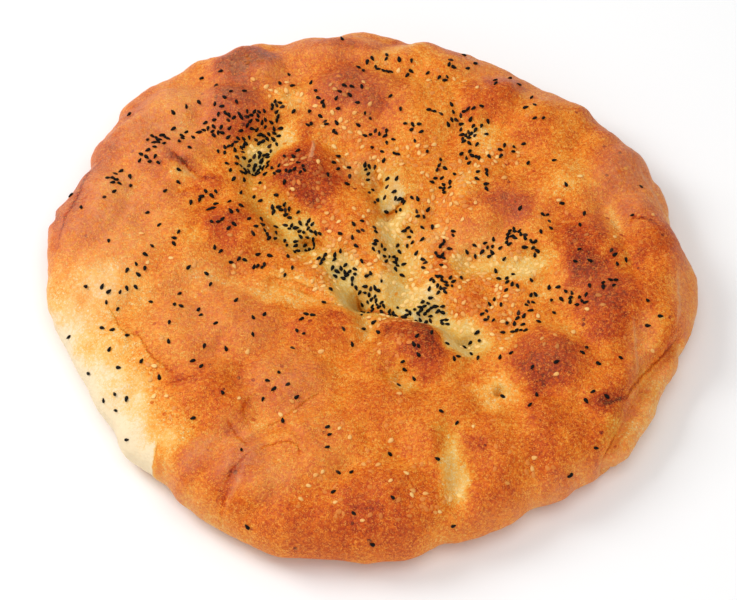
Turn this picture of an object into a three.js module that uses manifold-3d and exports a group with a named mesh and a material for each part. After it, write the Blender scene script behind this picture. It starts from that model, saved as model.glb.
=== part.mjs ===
// A round leavened flatbread, puffed at the rim and dimpled by hand, strewn with nigella and sesame.
// Millimetres, +Z up. It lies on its flat underside at z = 0 and its far side points to +Y.

import * as THREE from 'three';
import { mergeGeometries, mergeVertices } from 'three/addons/utils/BufferGeometryUtils.js';
import Module from 'manifold-3d';

// ---- The loaf: heights and the sweep of its edge ----

const CROWN_HEIGHT = 29; // dough level near the rim, before the pillows rise from it
const CENTRE_DIP = 5; // how much lower the pressed centre lies
const DIP_START = 0.2; // share of the radius where the dip starts to rise
const DIP_END = 0.75; // share of the radius where it has gone
const NOSE_HEIGHT = 13; // height of the widest line of the side
const SHOULDER = 36; // how far in from the widest line the top has levelled
const SHOULDER_SHAPE = 2 / 2.4; // exponent of the shoulder's superellipse
const UNDERCURVE = 15; // how far in from the widest line the flat underside starts
const UNDER_SHAPE = 2 / 2.2; // exponent of the lower quarter's superellipse

// Plan radius of the widest line at every ten degrees from +X, hand-pulled and so never quite round.
const RIM_RADII = [
  149, 141, 145, 141, 141, 136, 138, 139, 138, 142, 143, 144,
  151, 153, 153, 148, 147, 152, 151, 146, 142, 141, 142, 140,
  144, 147, 143, 144, 142, 138, 137, 140, 146, 142, 142, 146,
];

// ---- The relief of the crust ----

const PILLOW_SPREAD = 1.22; // pillows reach this much past the radii listed, so that they meet in creases
const PILLOW_SHAPE = 1.2; // how sharply a pillow falls off to its foot
const PILLOW_BLEND = 3; // higher values keep neighbouring pillows more apart

// Each pillow: x, y, half length, half width, turn in degrees, rise.
const PILLOWS = [
  // far rim and the row behind it
  [-61, 118, 17, 13, 0, 6], [-17, 125, 23, 12, 0, 5], [26, 123, 22, 11, -6, 5],
  [-65, 92, 18, 14, -8, 7], [-9, 102, 21, 14, 0, 7], [22, 90, 16, 19, 0, 5],
  [57, 98, 15, 14, 0, 6], [83, 87, 17, 20, -20, 5], [112, 62, 16, 23, -35, 6],
  // left side
  [-95, 65, 17, 11, -10, 5], [-114, 78, 19, 14, 25, 5], [-94, 92, 18, 12, 15, 5],
  [-66, 25, 19, 14, -5, 6], [-88, 11, 22, 22, 0, 5], [-133, 37, 16, 27, -15, 6],
  [-113, 5, 19, 19, 0, 4], [-60, -30, 24, 20, 0, 6], [-89, -36, 17, 20, 0, 4],
  // middle
  [-32, 53, 20, 19, -15, 8], [-12, 27, 16, 22, -30, 6], [18, 51, 16, 23, 0, 5],
  [47, 42, 17, 22, 0, 6], [75, 15, 16, 18, 0, 4], [19, -41, 22, 17, -12, 8],
  [-22, -29, 19, 13, 5, 6], [-39, -59, 20, 17, 15, 6], [4, -72, 17, 17, 0, 6],
  // right side
  [89, 44, 16, 19, 0, 5], [100, 9, 17, 20, 0, 7], [110, -23, 16, 22, -20, 7],
  [129, 17, 13, 24, 15, 6], [131, -16, 12, 22, 0, 5], [80, -51, 20, 19, 0, 8],
  [107, -60, 16, 19, 10, 5], [130, -66, 9, 26, -28, 4],
  // near rim and the row before it
  [-72, -66, 20, 20, 0, 6], [-22, -86, 19, 20, 0, 5], [31, -86, 17, 23, 0, 5],
  [58, -97, 18, 20, 0, 5], [79, -88, 15, 23, 0, 5], [89, -106, 17, 14, 35, 4],
  [53, -127, 19, 14, 20, 5], [6, -126, 24, 22, 0, 6], [-33, -137, 26, 17, 0, 6],
  [-33, -103, 19, 21, 0, 5], [-58, -110, 17, 17, 20, 6], [-82, -109, 17, 19, 0, 5],
];

// Grooves pressed in or torn open: half width, depth, and the points that each runs through.
const GROOVES = [
  { halfWidth: 13, depth: 5, route: [[-54, 72], [-51, 47], [-33, 22], [-17, 9], [-6, -8]] },
  { halfWidth: 13, depth: 5, route: [[-6, -8], [16, -16], [32, -21], [45, -35]] },
  { halfWidth: 12, depth: 4.5, route: [[3, 57], [10, 37], [13, 18], [16, -8]] },
  { halfWidth: 10, depth: 3.5, route: [[45, 7], [59, 5], [75, 7]] },
  { halfWidth: 8, depth: 4, route: [[105, -102], [111, -89], [116, -77], [119, -63], [126, -52], [143, -36]] },
  { halfWidth: 9, depth: 3, route: [[34, -87], [36, -103], [39, -121]] },
  { halfWidth: 9, depth: 2.5, route: [[13, -59], [3, -40], [-4, -21]] },
];

// Gentle waves of the skin: rise, then waves per millimetre along x and y, and a shift.
const RIPPLES = [
  [0.5, 0.23, 0.11, 0.4],
  [0.4, -0.14, 0.27, 1.9],
  [0.35, 0.31, -0.22, 4.1],
];

// ---- The seeds ----

const NIGELLA = { length: 3.1, width: 2, height: 1.9, sunk: 0.1 };
const SESAME = { length: 3.5, width: 2.3, height: 1.3, sunk: 0.1 };
const SEED_SPACING = 5; // least distance between two seeds
const SEED_TRIES = 30; // draws for one seed before it is given up
const DRIFT_PULL = 0.6; // below 1 the seeds crowd less towards a drift's middle
const RANDOM_START = 2026;

// Each drift of seeds: x, y, half length, half width, turn in degrees, nigella, sesame.
const DRIFTS = [
  [-62, 85, 24, 13, 0, 9, 1], [-53, 64, 24, 14, 0, 6, 1], [-43, 35, 20, 9, -48, 5, 1],
  [-16, 4, 18, 9, -25, 5, 2], [-49, 13, 26, 17, 0, 6, 3], [-86, 54, 22, 16, 0, 5, 1],
  [-110, 60, 16, 14, 20, 3, 0], [-112, -6, 24, 18, 0, 4, 0], [-92, -48, 30, 26, 0, 4, 1],
  [-44, -58, 28, 20, 0, 4, 3], [4, -17, 28, 10, -8, 6, 3], [22, 21, 19, 24, 0, 6, 8],
  [36, -14, 18, 14, 0, 5, 4], [44, 70, 19, 22, 0, 7, 5], [60, 26, 22, 18, 0, 3, 5],
  [62, -14, 20, 18, 0, 4, 6], [96, -8, 22, 18, 0, 5, 1], [100, 44, 30, 34, 0, 4, 2],
  [94, -54, 26, 24, 0, 4, 2], [0, 90, 34, 24, 0, 6, 4], [14, 120, 34, 10, 0, 3, 1],
  [-66, 106, 24, 12, 0, 3, 1], [0, -72, 34, 26, 0, 3, 4], [30, -108, 50, 26, 0, 2, 5],
  [-54, -112, 36, 24, 0, 1, 2],
];

// ---- The mesh ----

const TOP_CELLS = 38; // cells across the top
const SIDE_ROWS = 5; // rows of faces from the shoulder round to the underside
const SIDE_START = 9; // how far in from the widest line the side rows begin
const MERGE_REACH = 0.001; // points closer than this are one

const CRUST = new THREE.MeshStandardMaterial({ name: 'crust', color: 0xd9843f, roughness: 0.6, metalness: 0 });

const FULL_TURN = Math.PI * 2;
const QUARTER_TURN = Math.PI / 2;

// A repeatable stream of numbers from 0 up to 1.
function makeRandom(start) {
  let state = start >>> 0;
  return () => {
    state = (Math.imul(state, 1664525) + 1013904223) >>> 0;
    return state / 2 ** 32;
  };
}

// Radius of the widest line in a direction, on a smooth closed curve through RIM_RADII.
function rimRadius(angle) {
  const count = RIM_RADII.length;
  const place = THREE.MathUtils.euclideanModulo(angle / FULL_TURN, 1) * count;
  const index = Math.floor(place);
  const t = place - index;
  const [before, here, next, after] = [-1, 0, 1, 2].map((step) => RIM_RADII[(index + step + count) % count]);
  const slope = (next - before) / 2;
  const nextSlope = (after - here) / 2;
  const rise = next - here;
  return here + t * (slope + t * (3 * rise - 2 * slope - nextSlope + t * (slope + nextSlope - 2 * rise)));
}

// Squared distance from the middle of a turned ellipse, where 1 is its edge.
function ellipseDistance(x, y, [centreX, centreY, halfLength, halfWidth, turn]) {
  const angle = THREE.MathUtils.degToRad(turn);
  const along = (x - centreX) * Math.cos(angle) + (y - centreY) * Math.sin(angle);
  const across = (y - centreY) * Math.cos(angle) - (x - centreX) * Math.sin(angle);
  return (along / halfLength) ** 2 + (across / halfWidth) ** 2;
}

// Distance in plan from a point to a route of straight stretches.
function routeDistance(x, y, route) {
  let nearest = Infinity;
  for (let i = 1; i < route.length; i += 1) {
    const [startX, startY] = route[i - 1];
    const runX = route[i][0] - startX;
    const runY = route[i][1] - startY;
    const share = ((x - startX) * runX + (y - startY) * runY) / (runX ** 2 + runY ** 2);
    const t = THREE.MathUtils.clamp(share, 0, 1);
    nearest = Math.min(nearest, Math.hypot(x - startX - t * runX, y - startY - t * runY));
  }
  return nearest;
}

// How far the crust stands out from the smooth loaf: pillows and ripples, less the grooves.
function reliefAt(x, y) {
  let pillows = 0;
  for (const pillow of PILLOWS) {
    const inside = 1 - ellipseDistance(x, y, pillow) / PILLOW_SPREAD ** 2;
    if (inside > 0) {
      pillows += (pillow[5] * inside ** PILLOW_SHAPE) ** PILLOW_BLEND;
    }
  }
  let relief = pillows ** (1 / PILLOW_BLEND);
  for (const { halfWidth, depth, route } of GROOVES) {
    const inside = 1 - (routeDistance(x, y, route) / halfWidth) ** 2;
    if (inside > 0) {
      relief -= depth * inside ** 2;
    }
  }
  for (const [rise, waveX, waveY, shift] of RIPPLES) {
    relief += rise * Math.sin(waveX * x + waveY * y + shift);
  }
  return relief;
}

// Height of the smooth top well inside the shoulder, for a share of the rim's radius.
function crownHeight(share) {
  return CROWN_HEIGHT - CENTRE_DIP * (1 - THREE.MathUtils.smoothstep(share, DIP_START, DIP_END));
}

// A point of the crust on the loaf's edge. The sweep is a quarter turn at the shoulder's inner end,
// 0 on the widest line and minus a quarter turn where the flat underside starts.
function edgePoint(angle, sweep) {
  const radius = rimRadius(angle);
  const isUpper = sweep >= 0;
  const shape = isUpper ? SHOULDER_SHAPE : UNDER_SHAPE;
  const reach = isUpper ? SHOULDER : UNDERCURVE;
  const cosine = Math.max(Math.cos(sweep), 0);
  const sine = Math.abs(Math.sin(sweep));
  const plan = radius - reach * (1 - cosine ** shape);
  const rise = isUpper ? crownHeight(plan / radius) - NOSE_HEIGHT : NOSE_HEIGHT;
  const height = NOSE_HEIGHT + Math.sign(sweep) * rise * sine ** shape;
  const outward = new THREE.Vector2(cosine ** (2 - shape) / reach, sine ** (2 - shape) / rise);
  outward.normalize();
  const x = plan * Math.cos(angle);
  const y = plan * Math.sin(angle);
  const relief = reliefAt(x, y) * (isUpper ? 1 : cosine);
  const puffed = plan + relief * outward.x;
  const lift = relief * outward.y * (isUpper ? 1 : 0);
  return new THREE.Vector3(puffed * Math.cos(angle), puffed * Math.sin(angle), height + lift);
}

// A point of the top at a distance from the middle.
function topPoint(angle, plan) {
  const inset = rimRadius(angle) - plan;
  if (inset < SHOULDER) {
    return edgePoint(angle, Math.acos((1 - inset / SHOULDER) ** (1 / SHOULDER_SHAPE)));
  }
  const x = plan * Math.cos(angle);
  const y = plan * Math.sin(angle);
  return new THREE.Vector3(x, y, crownHeight(plan / rimRadius(angle)) + reliefAt(x, y));
}

// Carries a point of a square with corners at 1 and -1 onto a disc: its direction and its share of the radius.
function squareToDisc(u, v) {
  if (u === 0 && v === 0) {
    return { angle: 0, share: 0 };
  }
  const steep = Math.abs(v) > Math.abs(u);
  const signed = steep ? v : u;
  const angle = steep ? QUARTER_TURN - (Math.PI / 4) * (u / v) : (Math.PI / 4) * (v / u);
  return { angle: signed < 0 ? angle + Math.PI : angle, share: Math.abs(signed) };
}

// The top and the side: a box without its bottom face, whose cells are drawn out over the loaf.
function crustGeometry() {
  const geometry = new THREE.BoxGeometry(2, 2, 2, TOP_CELLS, TOP_CELLS, SIDE_ROWS);
  const bottomFace = geometry.groups[geometry.groups.length - 1];
  geometry.setIndex([...geometry.index.array.slice(0, bottomFace.start)]);
  const positions = geometry.getAttribute('position');
  const sideSweep = Math.acos((1 - SIDE_START / SHOULDER) ** (1 / SHOULDER_SHAPE));
  for (let i = 0; i < positions.count; i += 1) {
    const level = positions.getZ(i);
    const { angle, share } = squareToDisc(positions.getX(i), positions.getY(i));
    const isTop = level === 1 && share < 1;
    const sweep = THREE.MathUtils.mapLinear(level, 1, -1, sideSweep, -QUARTER_TURN);
    const point = isTop ? topPoint(angle, share * (rimRadius(angle) - SIDE_START)) : edgePoint(angle, sweep);
    positions.setXYZ(i, point.x, point.y, point.z);
  }
  return geometry;
}

// The flat underside: a disc whose rim meets the lowest points of the side.
function undersideGeometry() {
  const geometry = new THREE.CircleGeometry(1, 4 * TOP_CELLS);
  geometry.rotateX(Math.PI);
  const positions = geometry.getAttribute('position');
  for (let i = 1; i < positions.count; i += 1) {
    const point = edgePoint(Math.atan2(positions.getY(i), positions.getX(i)), -QUARTER_TURN);
    positions.setXYZ(i, point.x, point.y, point.z);
  }
  return geometry;
}

// The bread without its seeds.
function breadGeometry() {
  const geometry = mergeGeometries([crustGeometry(), undersideGeometry()]);
  geometry.deleteAttribute('normal');
  geometry.deleteAttribute('uv');
  return mergeVertices(geometry, MERGE_REACH);
}

// A many-sided seed lying along x, its middle at the origin.
function seedGeometry({ length, width, height }) {
  const geometry = new THREE.IcosahedronGeometry(1, 0);
  geometry.scale(length / 2, width / 2, height / 2);
  return geometry;
}

// Seeds lying on the bread: each drift in turn draws its seeds, which keep clear of one another.
function seedGeometries(bread) {
  const random = makeRandom(RANDOM_START);
  const crust = new THREE.Mesh(bread, CRUST);
  const ray = new THREE.Raycaster();
  const down = new THREE.Vector3(0, 0, -1);
  const placed = [];
  const seeds = [];

  const layOne = (drift, kind) => {
    const [centreX, centreY, halfLength, halfWidth, turn] = drift;
    for (let attempt = 0; attempt < SEED_TRIES; attempt += 1) {
      const bearing = random() * FULL_TURN;
      const spread = random() ** DRIFT_PULL;
      const heading = random() * Math.PI;
      const offset = new THREE.Vector2(halfLength * Math.cos(bearing), halfWidth * Math.sin(bearing));
      offset.multiplyScalar(spread).rotateAround(new THREE.Vector2(), THREE.MathUtils.degToRad(turn));
      const spot = new THREE.Vector2(centreX, centreY).add(offset);
      ray.set(new THREE.Vector3(spot.x, spot.y, 2 * CROWN_HEIGHT), down);
      const [hit] = ray.intersectObject(crust);
      const isClear = placed.every((other) => other.distanceTo(spot) > SEED_SPACING);
      if (hit && isClear) {
        const tilt = new THREE.Quaternion().setFromUnitVectors(new THREE.Vector3(0, 0, 1), hit.face.normal);
        const place = new THREE.Matrix4().makeRotationFromQuaternion(tilt);
        place.multiply(new THREE.Matrix4().makeRotationZ(heading));
        place.setPosition(hit.point.addScaledVector(hit.face.normal, -kind.sunk));
        placed.push(spot);
        seeds.push(seedGeometry(kind).applyMatrix4(place));
        return;
      }
    }
  };

  for (const drift of DRIFTS) {
    for (let i = 0; i < drift[5]; i += 1) {
      layOne(drift, NIGELLA);
    }
    for (let i = 0; i < drift[6]; i += 1) {
      layOne(drift, SESAME);
    }
  }
  return seeds;
}

const wasm = await Module();
wasm.setup();

// A closed mesh as a solid that can be joined.
function solidFrom(geometry) {
  const bare = geometry.clone();
  bare.deleteAttribute('normal');
  bare.deleteAttribute('uv');
  const merged = mergeVertices(bare);
  return new wasm.Manifold(new wasm.Mesh({
    numProp: 3,
    vertProperties: Float32Array.from(merged.getAttribute('position').array),
    triVerts: Uint32Array.from(merged.index.array),
  }));
}

// A solid as a mesh's geometry, its box centred over the origin in plan.
function geometryFrom(solid) {
  const { vertProperties, triVerts, numProp } = solid.getMesh();
  const geometry = new THREE.BufferGeometry();
  geometry.setAttribute('position', new THREE.BufferAttribute(vertProperties, numProp));
  geometry.setIndex(new THREE.BufferAttribute(triVerts, 1));
  geometry.computeBoundingBox();
  const middle = geometry.boundingBox.getCenter(new THREE.Vector3());
  geometry.translate(-middle.x, -middle.y, 0);
  geometry.computeVertexNormals();
  return geometry;
}

// The whole bread, its seeds fused to the crust.
function makeBread() {
  const bare = breadGeometry();
  let solid = solidFrom(bare);
  for (const seed of seedGeometries(bare)) {
    solid = solid.add(solidFrom(seed));
  }
  const mesh = new THREE.Mesh(geometryFrom(solid), CRUST);
  mesh.name = 'bread';
  return mesh;
}

const flatbread = new THREE.Group();
flatbread.add(makeBread());

export default flatbread;
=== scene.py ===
"""A round leavened flatbread: its crust, its seeds, and the plain studio that shows them.

Sizes and places are in millimetres, seen from above with +Y towards the bread's far side.
They become metres when a mesh is written.
"""

import logging
import math
from dataclasses import dataclass, field
from enum import Enum
from typing import Any

import bmesh
import bpy
import numpy as np
from mathutils import Matrix, Vector


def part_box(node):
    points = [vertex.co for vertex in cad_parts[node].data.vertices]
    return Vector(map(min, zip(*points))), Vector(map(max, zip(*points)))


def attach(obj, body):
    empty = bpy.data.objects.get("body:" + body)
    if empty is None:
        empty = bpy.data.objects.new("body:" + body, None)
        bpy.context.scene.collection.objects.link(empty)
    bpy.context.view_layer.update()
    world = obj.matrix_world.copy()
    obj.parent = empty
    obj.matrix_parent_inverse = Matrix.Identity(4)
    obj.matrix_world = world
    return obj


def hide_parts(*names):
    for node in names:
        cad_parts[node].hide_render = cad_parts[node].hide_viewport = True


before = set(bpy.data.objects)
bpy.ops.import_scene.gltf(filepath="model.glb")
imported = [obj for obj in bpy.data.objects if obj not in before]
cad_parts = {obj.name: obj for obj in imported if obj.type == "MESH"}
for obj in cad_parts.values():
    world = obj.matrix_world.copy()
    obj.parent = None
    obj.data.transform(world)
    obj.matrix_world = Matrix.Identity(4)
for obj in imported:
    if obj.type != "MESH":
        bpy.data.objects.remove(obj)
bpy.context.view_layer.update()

LOG = logging.getLogger("flatbread")
MM = 0.001
QUARTER_TURN = math.pi / 2

Array = np.ndarray
Span = tuple[float, float]
Points = tuple[tuple[float, float], ...]
Layers = tuple[tuple[int, float, float], ...]
Colour = tuple[float, float, float, float]


# --- Plain maths ---


def smoothstep(value: Array, low: float, high: float) -> Array:
    """Returns 0 at and under low, 1 at and over high, and a smooth rise between."""
    share = np.clip((value - low) / (high - low), 0.0, 1.0)
    return share * share * (3.0 - 2.0 * share)


def lerp(start: Any, end: Any, share: Any) -> Any:
    """Returns the value a share of the way from start to end."""
    return start + (end - start) * share


class SoftNoise:
    """Smooth seeded noise over the plan, from -1 to 1."""

    LATTICE = 128

    def __init__(self, seed: int, wavelength: float) -> None:
        """Draws the lattice from a seed, its points a wavelength apart."""
        self.wavelength = wavelength
        self.lattice = np.random.default_rng(seed).uniform(-1.0, 1.0, (self.LATTICE, self.LATTICE))

    def ease(self, share: Array) -> Array:
        """Returns shares of a cell with a smooth start and end."""
        return share**3 * (share * (share * 6.0 - 15.0) + 10.0)

    def at(self, x: Array, y: Array) -> Array:
        """Works out the noise at places in the plan.

        Args:
            x: Places along X.
            y: Places along Y.

        Returns:
            Numbers from -1 to 1.
        """
        column = x / self.wavelength + self.LATTICE / 2
        row = y / self.wavelength + self.LATTICE / 2
        left, below = np.floor(column).astype(int), np.floor(row).astype(int)
        across, up = self.ease(column - left), self.ease(row - below)
        left, below = left % self.LATTICE, below % self.LATTICE
        right, above = (left + 1) % self.LATTICE, (below + 1) % self.LATTICE
        lower = lerp(self.lattice[below, left], self.lattice[below, right], across)
        upper = lerp(self.lattice[above, left], self.lattice[above, right], across)
        return lerp(lower, upper, up)


def layered_noise(layers: Layers, x: Array, y: Array) -> Array:
    """Returns the sum of several noises, each a seed, a wavelength and a strength."""
    return sum(SoftNoise(seed, wavelength).at(x, y) * strength for seed, wavelength, strength in layers)


# --- Features of the crust ---


@dataclass(frozen=True)
class Oval:
    """A turned ellipse in the plan.

    Attributes:
        x: Middle along X.
        y: Middle along Y.
        length: Half length along its own X.
        width: Half width.
        turn: Turn in degrees.
    """

    x: float
    y: float
    length: float
    width: float
    turn: float

    def distance(self, x: Array, y: Array) -> Array:
        """Measures places against the ellipse.

        Args:
            x: Places along X.
            y: Places along Y.

        Returns:
            The squared distance from the middle, where 1 is the ellipse's edge.
        """
        angle = math.radians(self.turn)
        along = (x - self.x) * math.cos(angle) + (y - self.y) * math.sin(angle)
        across = (y - self.y) * math.cos(angle) - (x - self.x) * math.sin(angle)
        return (along / self.length) ** 2 + (across / self.width) ** 2

    def inside(self, x: Array, y: Array, spread: float = 1.0) -> Array:
        """Returns 1 at the middle and 0 at and past the edge, spread being a stretch of the ellipse."""
        return np.clip(1.0 - self.distance(x, y) / spread**2, 0.0, None)


@dataclass(frozen=True)
class Pillow(Oval):
    """A puffed bump.

    Attributes:
        rise: How far its top stands out.
        bake: How dark its top is baked, from 0 to 1.
    """

    rise: float
    bake: float


@dataclass(frozen=True)
class Pit(Oval):
    """A dent left by a fingertip.

    Attributes:
        depth: Depth in the middle.
    """

    depth: float


@dataclass(frozen=True)
class Patch(Oval):
    """An area whose colour departs from what its relief gives.

    Attributes:
        amount: How far it departs in the middle, and it may be less than 0.
    """

    amount: float


@dataclass(frozen=True)
class Drift(Oval):
    """A drift of seeds of one kind.

    Attributes:
        count: How many seeds it holds.
    """

    count: int


@dataclass(frozen=True)
class Groove:
    """A dent along a route of straight stretches.

    Attributes:
        half_width: Reach to each side.
        depth: Depth in the middle.
        route: The points it runs through.
    """

    half_width: float
    depth: float
    route: Points

    def inside(self, x: Array, y: Array) -> Array:
        """Measures places against the route.

        Args:
            x: Places along X.
            y: Places along Y.

        Returns:
            Numbers that are 1 on the route, and 0 at and past the half width.
        """
        nearest = np.full_like(x, np.inf)
        for (start_x, start_y), (end_x, end_y) in zip(self.route, self.route[1:]):
            run_x, run_y = end_x - start_x, end_y - start_y
            share = ((x - start_x) * run_x + (y - start_y) * run_y) / (run_x**2 + run_y**2)
            share = np.clip(share, 0.0, 1.0)
            gap = np.hypot(x - start_x - share * run_x, y - start_y - share * run_y)
            nearest = np.minimum(nearest, gap)
        return np.clip(1.0 - (nearest / self.half_width) ** 2, 0.0, None)


@dataclass(frozen=True)
class Fold:
    """A thin line where the skin folded or tore, or where its colour changes at once.

    Attributes:
        dark: How much darker the crust is on the line, or paler where it is less than 0.
        lift: How far the side on the left of the route stands over the other.
        shade: How much darker the left side is than the other, partly the crust's own colour and partly
            painted shadow beside the fold.
        reach: How far from the line its two sides differ.
        route: The points it runs through.
        full: Share of the reach within which they differ in full.
        fade: Share of the line's length over which each end of it fades.
    """

    dark: float
    lift: float
    shade: float
    reach: float
    route: Points
    full: float = 0.4
    fade: float = 0.25

    def measure(self, x: Array, y: Array) -> tuple[Array, Array]:
        """Measures places against the line.

        Args:
            x: Places along X.
            y: Places along Y.

        Returns:
            The distance from the line, less than 0 on its right, and how strongly the fold holds there.
        """
        distance = np.full_like(x, np.inf)
        place = np.zeros_like(x)
        run = 0.0
        for (start_x, start_y), (end_x, end_y) in zip(self.route, self.route[1:]):
            length = math.hypot(end_x - start_x, end_y - start_y)
            along_x, along_y = (end_x - start_x) / length, (end_y - start_y) / length
            along = np.clip((x - start_x) * along_x + (y - start_y) * along_y, 0.0, length)
            gap = np.hypot(x - start_x - along * along_x, y - start_y - along * along_y)
            side = along_x * (y - start_y) - along_y * (x - start_x)
            closer = gap < np.abs(distance)
            distance = np.where(closer, np.copysign(gap, side), distance)
            place = np.where(closer, run + along, place)
            run += length
        ends = smoothstep(np.minimum(place, run - place), 0.0, run * self.fade)
        return distance, ends * (1.0 - smoothstep(np.abs(distance), self.reach * self.full, self.reach))


@dataclass(frozen=True)
class Bulge:
    """A stretch of the rim that stands further out, or in where the amount is less than 0.

    Attributes:
        direction: Where it is, in degrees from +X.
        spread: How far it reaches to each side, in degrees.
        amount: How far it stands out.
    """

    direction: float
    spread: float
    amount: float

    def reach(self, angle: Array) -> Array:
        """Returns how far it moves the rim in each direction."""
        off = np.mod(np.degrees(angle) - self.direction + 180.0, 360.0) - 180.0
        return self.amount * np.exp(-((off / self.spread) ** 2))


# Each row of a table below gives one feature's values in the order of its class, so the rows of
# every oval start with its middle along X and Y, half length, half width and turn.

# Puffed bumps.
PILLOWS = tuple(Pillow(*row) for row in (
    # far rim and the row behind it
    (-62, 116, 17, 13, 0, 6, 0.72), (-18, 123, 23, 12, 0, 5, 0.50), (25, 121, 22, 11, -6, 5, 0.40),
    (-66, 90, 18, 14, -8, 7, 0.82), (-10, 100, 21, 14, 0, 7, 0.80), (21, 88, 16, 19, 0, 5, 0.40),
    (56, 96, 15, 14, 0, 6, 0.70), (82, 85, 17, 20, -20, 5, 0.42), (111, 60, 16, 23, -35, 6, 0.66),
    # left side
    (-96, 63, 17, 11, -10, 5, 0.56), (-115, 76, 19, 14, 25, 5, 0.48), (-95, 90, 18, 12, 15, 5, 0.40),
    (-67, 23, 19, 14, -5, 6, 0.68), (-89, 9, 22, 22, 0, 5, 0.40), (-134, 35, 16, 27, -15, 6, 0.52),
    (-114, 3, 19, 19, 0, 4, 0.34), (-61, -32, 24, 20, 0, 6, 0.52), (-90, -38, 17, 20, 0, 4, 0.44),
    # middle
    (-33, 51, 20, 19, -15, 8, 0.88), (-13, 25, 16, 22, -30, 6, 0.46), (17, 49, 16, 23, 0, 5, 0.38),
    (46, 40, 17, 22, 0, 6, 0.46), (66, 36, 14, 13, 0, 3, 0.62), (74, 13, 16, 18, 0, 4, 0.40),
    (42, -14, 11, 8, 0, 2, 0.55), (18, -43, 22, 17, -12, 8, 0.86), (-23, -31, 19, 13, 5, 6, 0.62),
    (-40, -61, 20, 17, 15, 6, 0.52), (3, -74, 17, 17, 0, 6, 0.60),
    # right side
    (88, 42, 16, 19, 0, 5, 0.42), (99, 7, 17, 20, 0, 7, 0.86), (109, -25, 16, 22, -20, 7, 0.86),
    (128, 15, 13, 24, 15, 6, 0.72), (130, -18, 12, 22, 0, 5, 0.48), (79, -53, 20, 19, 0, 8, 0.88),
    (106, -62, 16, 19, 10, 5, 0.56), (129, -68, 9, 26, -28, 4, 0.48),
    # near rim and the row before it
    (-73, -68, 20, 20, 0, 6, 0.58), (-23, -88, 19, 20, 0, 5, 0.48), (30, -88, 17, 23, 0, 5, 0.50),
    (57, -99, 18, 20, 0, 5, 0.60), (78, -90, 15, 23, 0, 5, 0.60), (88, -108, 17, 14, 35, 4, 0.55),
    (52, -129, 19, 14, 20, 5, 0.64), (5, -128, 24, 22, 0, 6, 0.66), (-34, -139, 26, 17, 0, 6, 0.64),
    (-34, -105, 19, 21, 0, 5, 0.46), (-59, -112, 17, 17, 20, 6, 0.66),
    (-83, -111, 17, 19, 0, 5, 0.50),
))

# Broad dents between them.
GROOVES = (
    Groove(13, 5.0, ((-55, 70), (-52, 45), (-34, 20), (-18, 7), (-7, -10))),
    Groove(13, 5.0, ((-7, -10), (15, -18), (31, -23), (44, -37))),
    Groove(12, 4.5, ((2, 55), (9, 35), (12, 16), (15, -10))),
    Groove(10, 3.5, ((44, 5), (58, 3), (74, 5))),
    Groove(8, 4.0, ((104, -104), (110, -91), (115, -79), (118, -65), (125, -54), (142, -38))),
    Groove(9, 3.0, ((33, -89), (35, -105), (38, -123))),
    Groove(9, 2.5, ((12, -61), (2, -42), (-5, -23))),
)

# Dents of the baker's fingertips.
PITS = tuple(Pit(*row) for row in (
    (-31, 19, 5, 5, 0, 5.0), (7, 37, 5, 6, 0, 4.5), (2, 52, 4, 6, 0, 3.0), (-7, -11, 5, 5, 0, 5.0),
    (43, -36, 5, 5, 0, 4.5), (56, -67, 2.6, 2.6, 0, 4.0), (12, -58, 4, 5, 0, 3.0),
    (36, -110, 5, 9, 0, 2.5), (74, -4, 2, 2.6, 0, 3.0), (-39, 98, 5, 4, 0, 2.5),
    (-56, 62, 8, 6, 0, 3.5), (-47, 72, 5, 9, -30, 2.5), (-85, 56, 9, 6, 0, 2.0),
    (-4, -27, 5, 5, 0, 2.0), (54, 83, 6, 6, 0, 2.0),
))

# Narrow creases of the skin.
CREASES = (
    Groove(3.0, 1.2, ((-97, 68), (-90, 60), (-81, 52))),
    Groove(3.2, 1.0, ((-65, -88), (-56, -96), (-61, -108), (-67, -123))),
    Groove(2.6, 0.4, ((-58, -79), (-52, -74), (-47, -69))),
    Groove(2.8, 1.2, ((-54, -93), (-47, -88), (-40, -87), (-33, -94))),
    Groove(2.4, 1.2, ((-47, -4), (-34, -8), (-17, -17))),
    Groove(2.8, 1.4, ((-146, 36), (-144, 25), (-146, 14))),
    Groove(3.0, 1.2, ((-124, 76), (-114, 88))),
    Groove(2.0, 1.6, ((0, 57), (2, 50), (4, 43))),
    Groove(2.0, 1.6, ((6, 33), (12, 39), (14, 42))),
    Groove(2.2, 1.6, ((-8, -7), (-6, -12), (-3, -16))),
    Groove(3.0, 1.8, ((-1, -16), (15, -21), (29, -26))),
    Groove(3.0, 0.7, ((-59, 59), (-54, 59), (-47, 70))),
    Groove(2.0, 1.4, ((-35, 26), (-31, 20), (-26, 16))),
    Groove(3.0, 1.2, ((98, -75), (105, -71), (112, -68))),
    Groove(2.2, 2.2, ((104, -105), (110, -91), (115, -80), (121, -66), (130, -52), (138, -40), (147, -27))),
    Groove(2.6, 0.9, ((-72, -46), (-68, -38), (-61, -31))),
    Groove(2.4, 0.9, ((-58, -65), (-50, -67), (-46, -72))),
)

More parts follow.
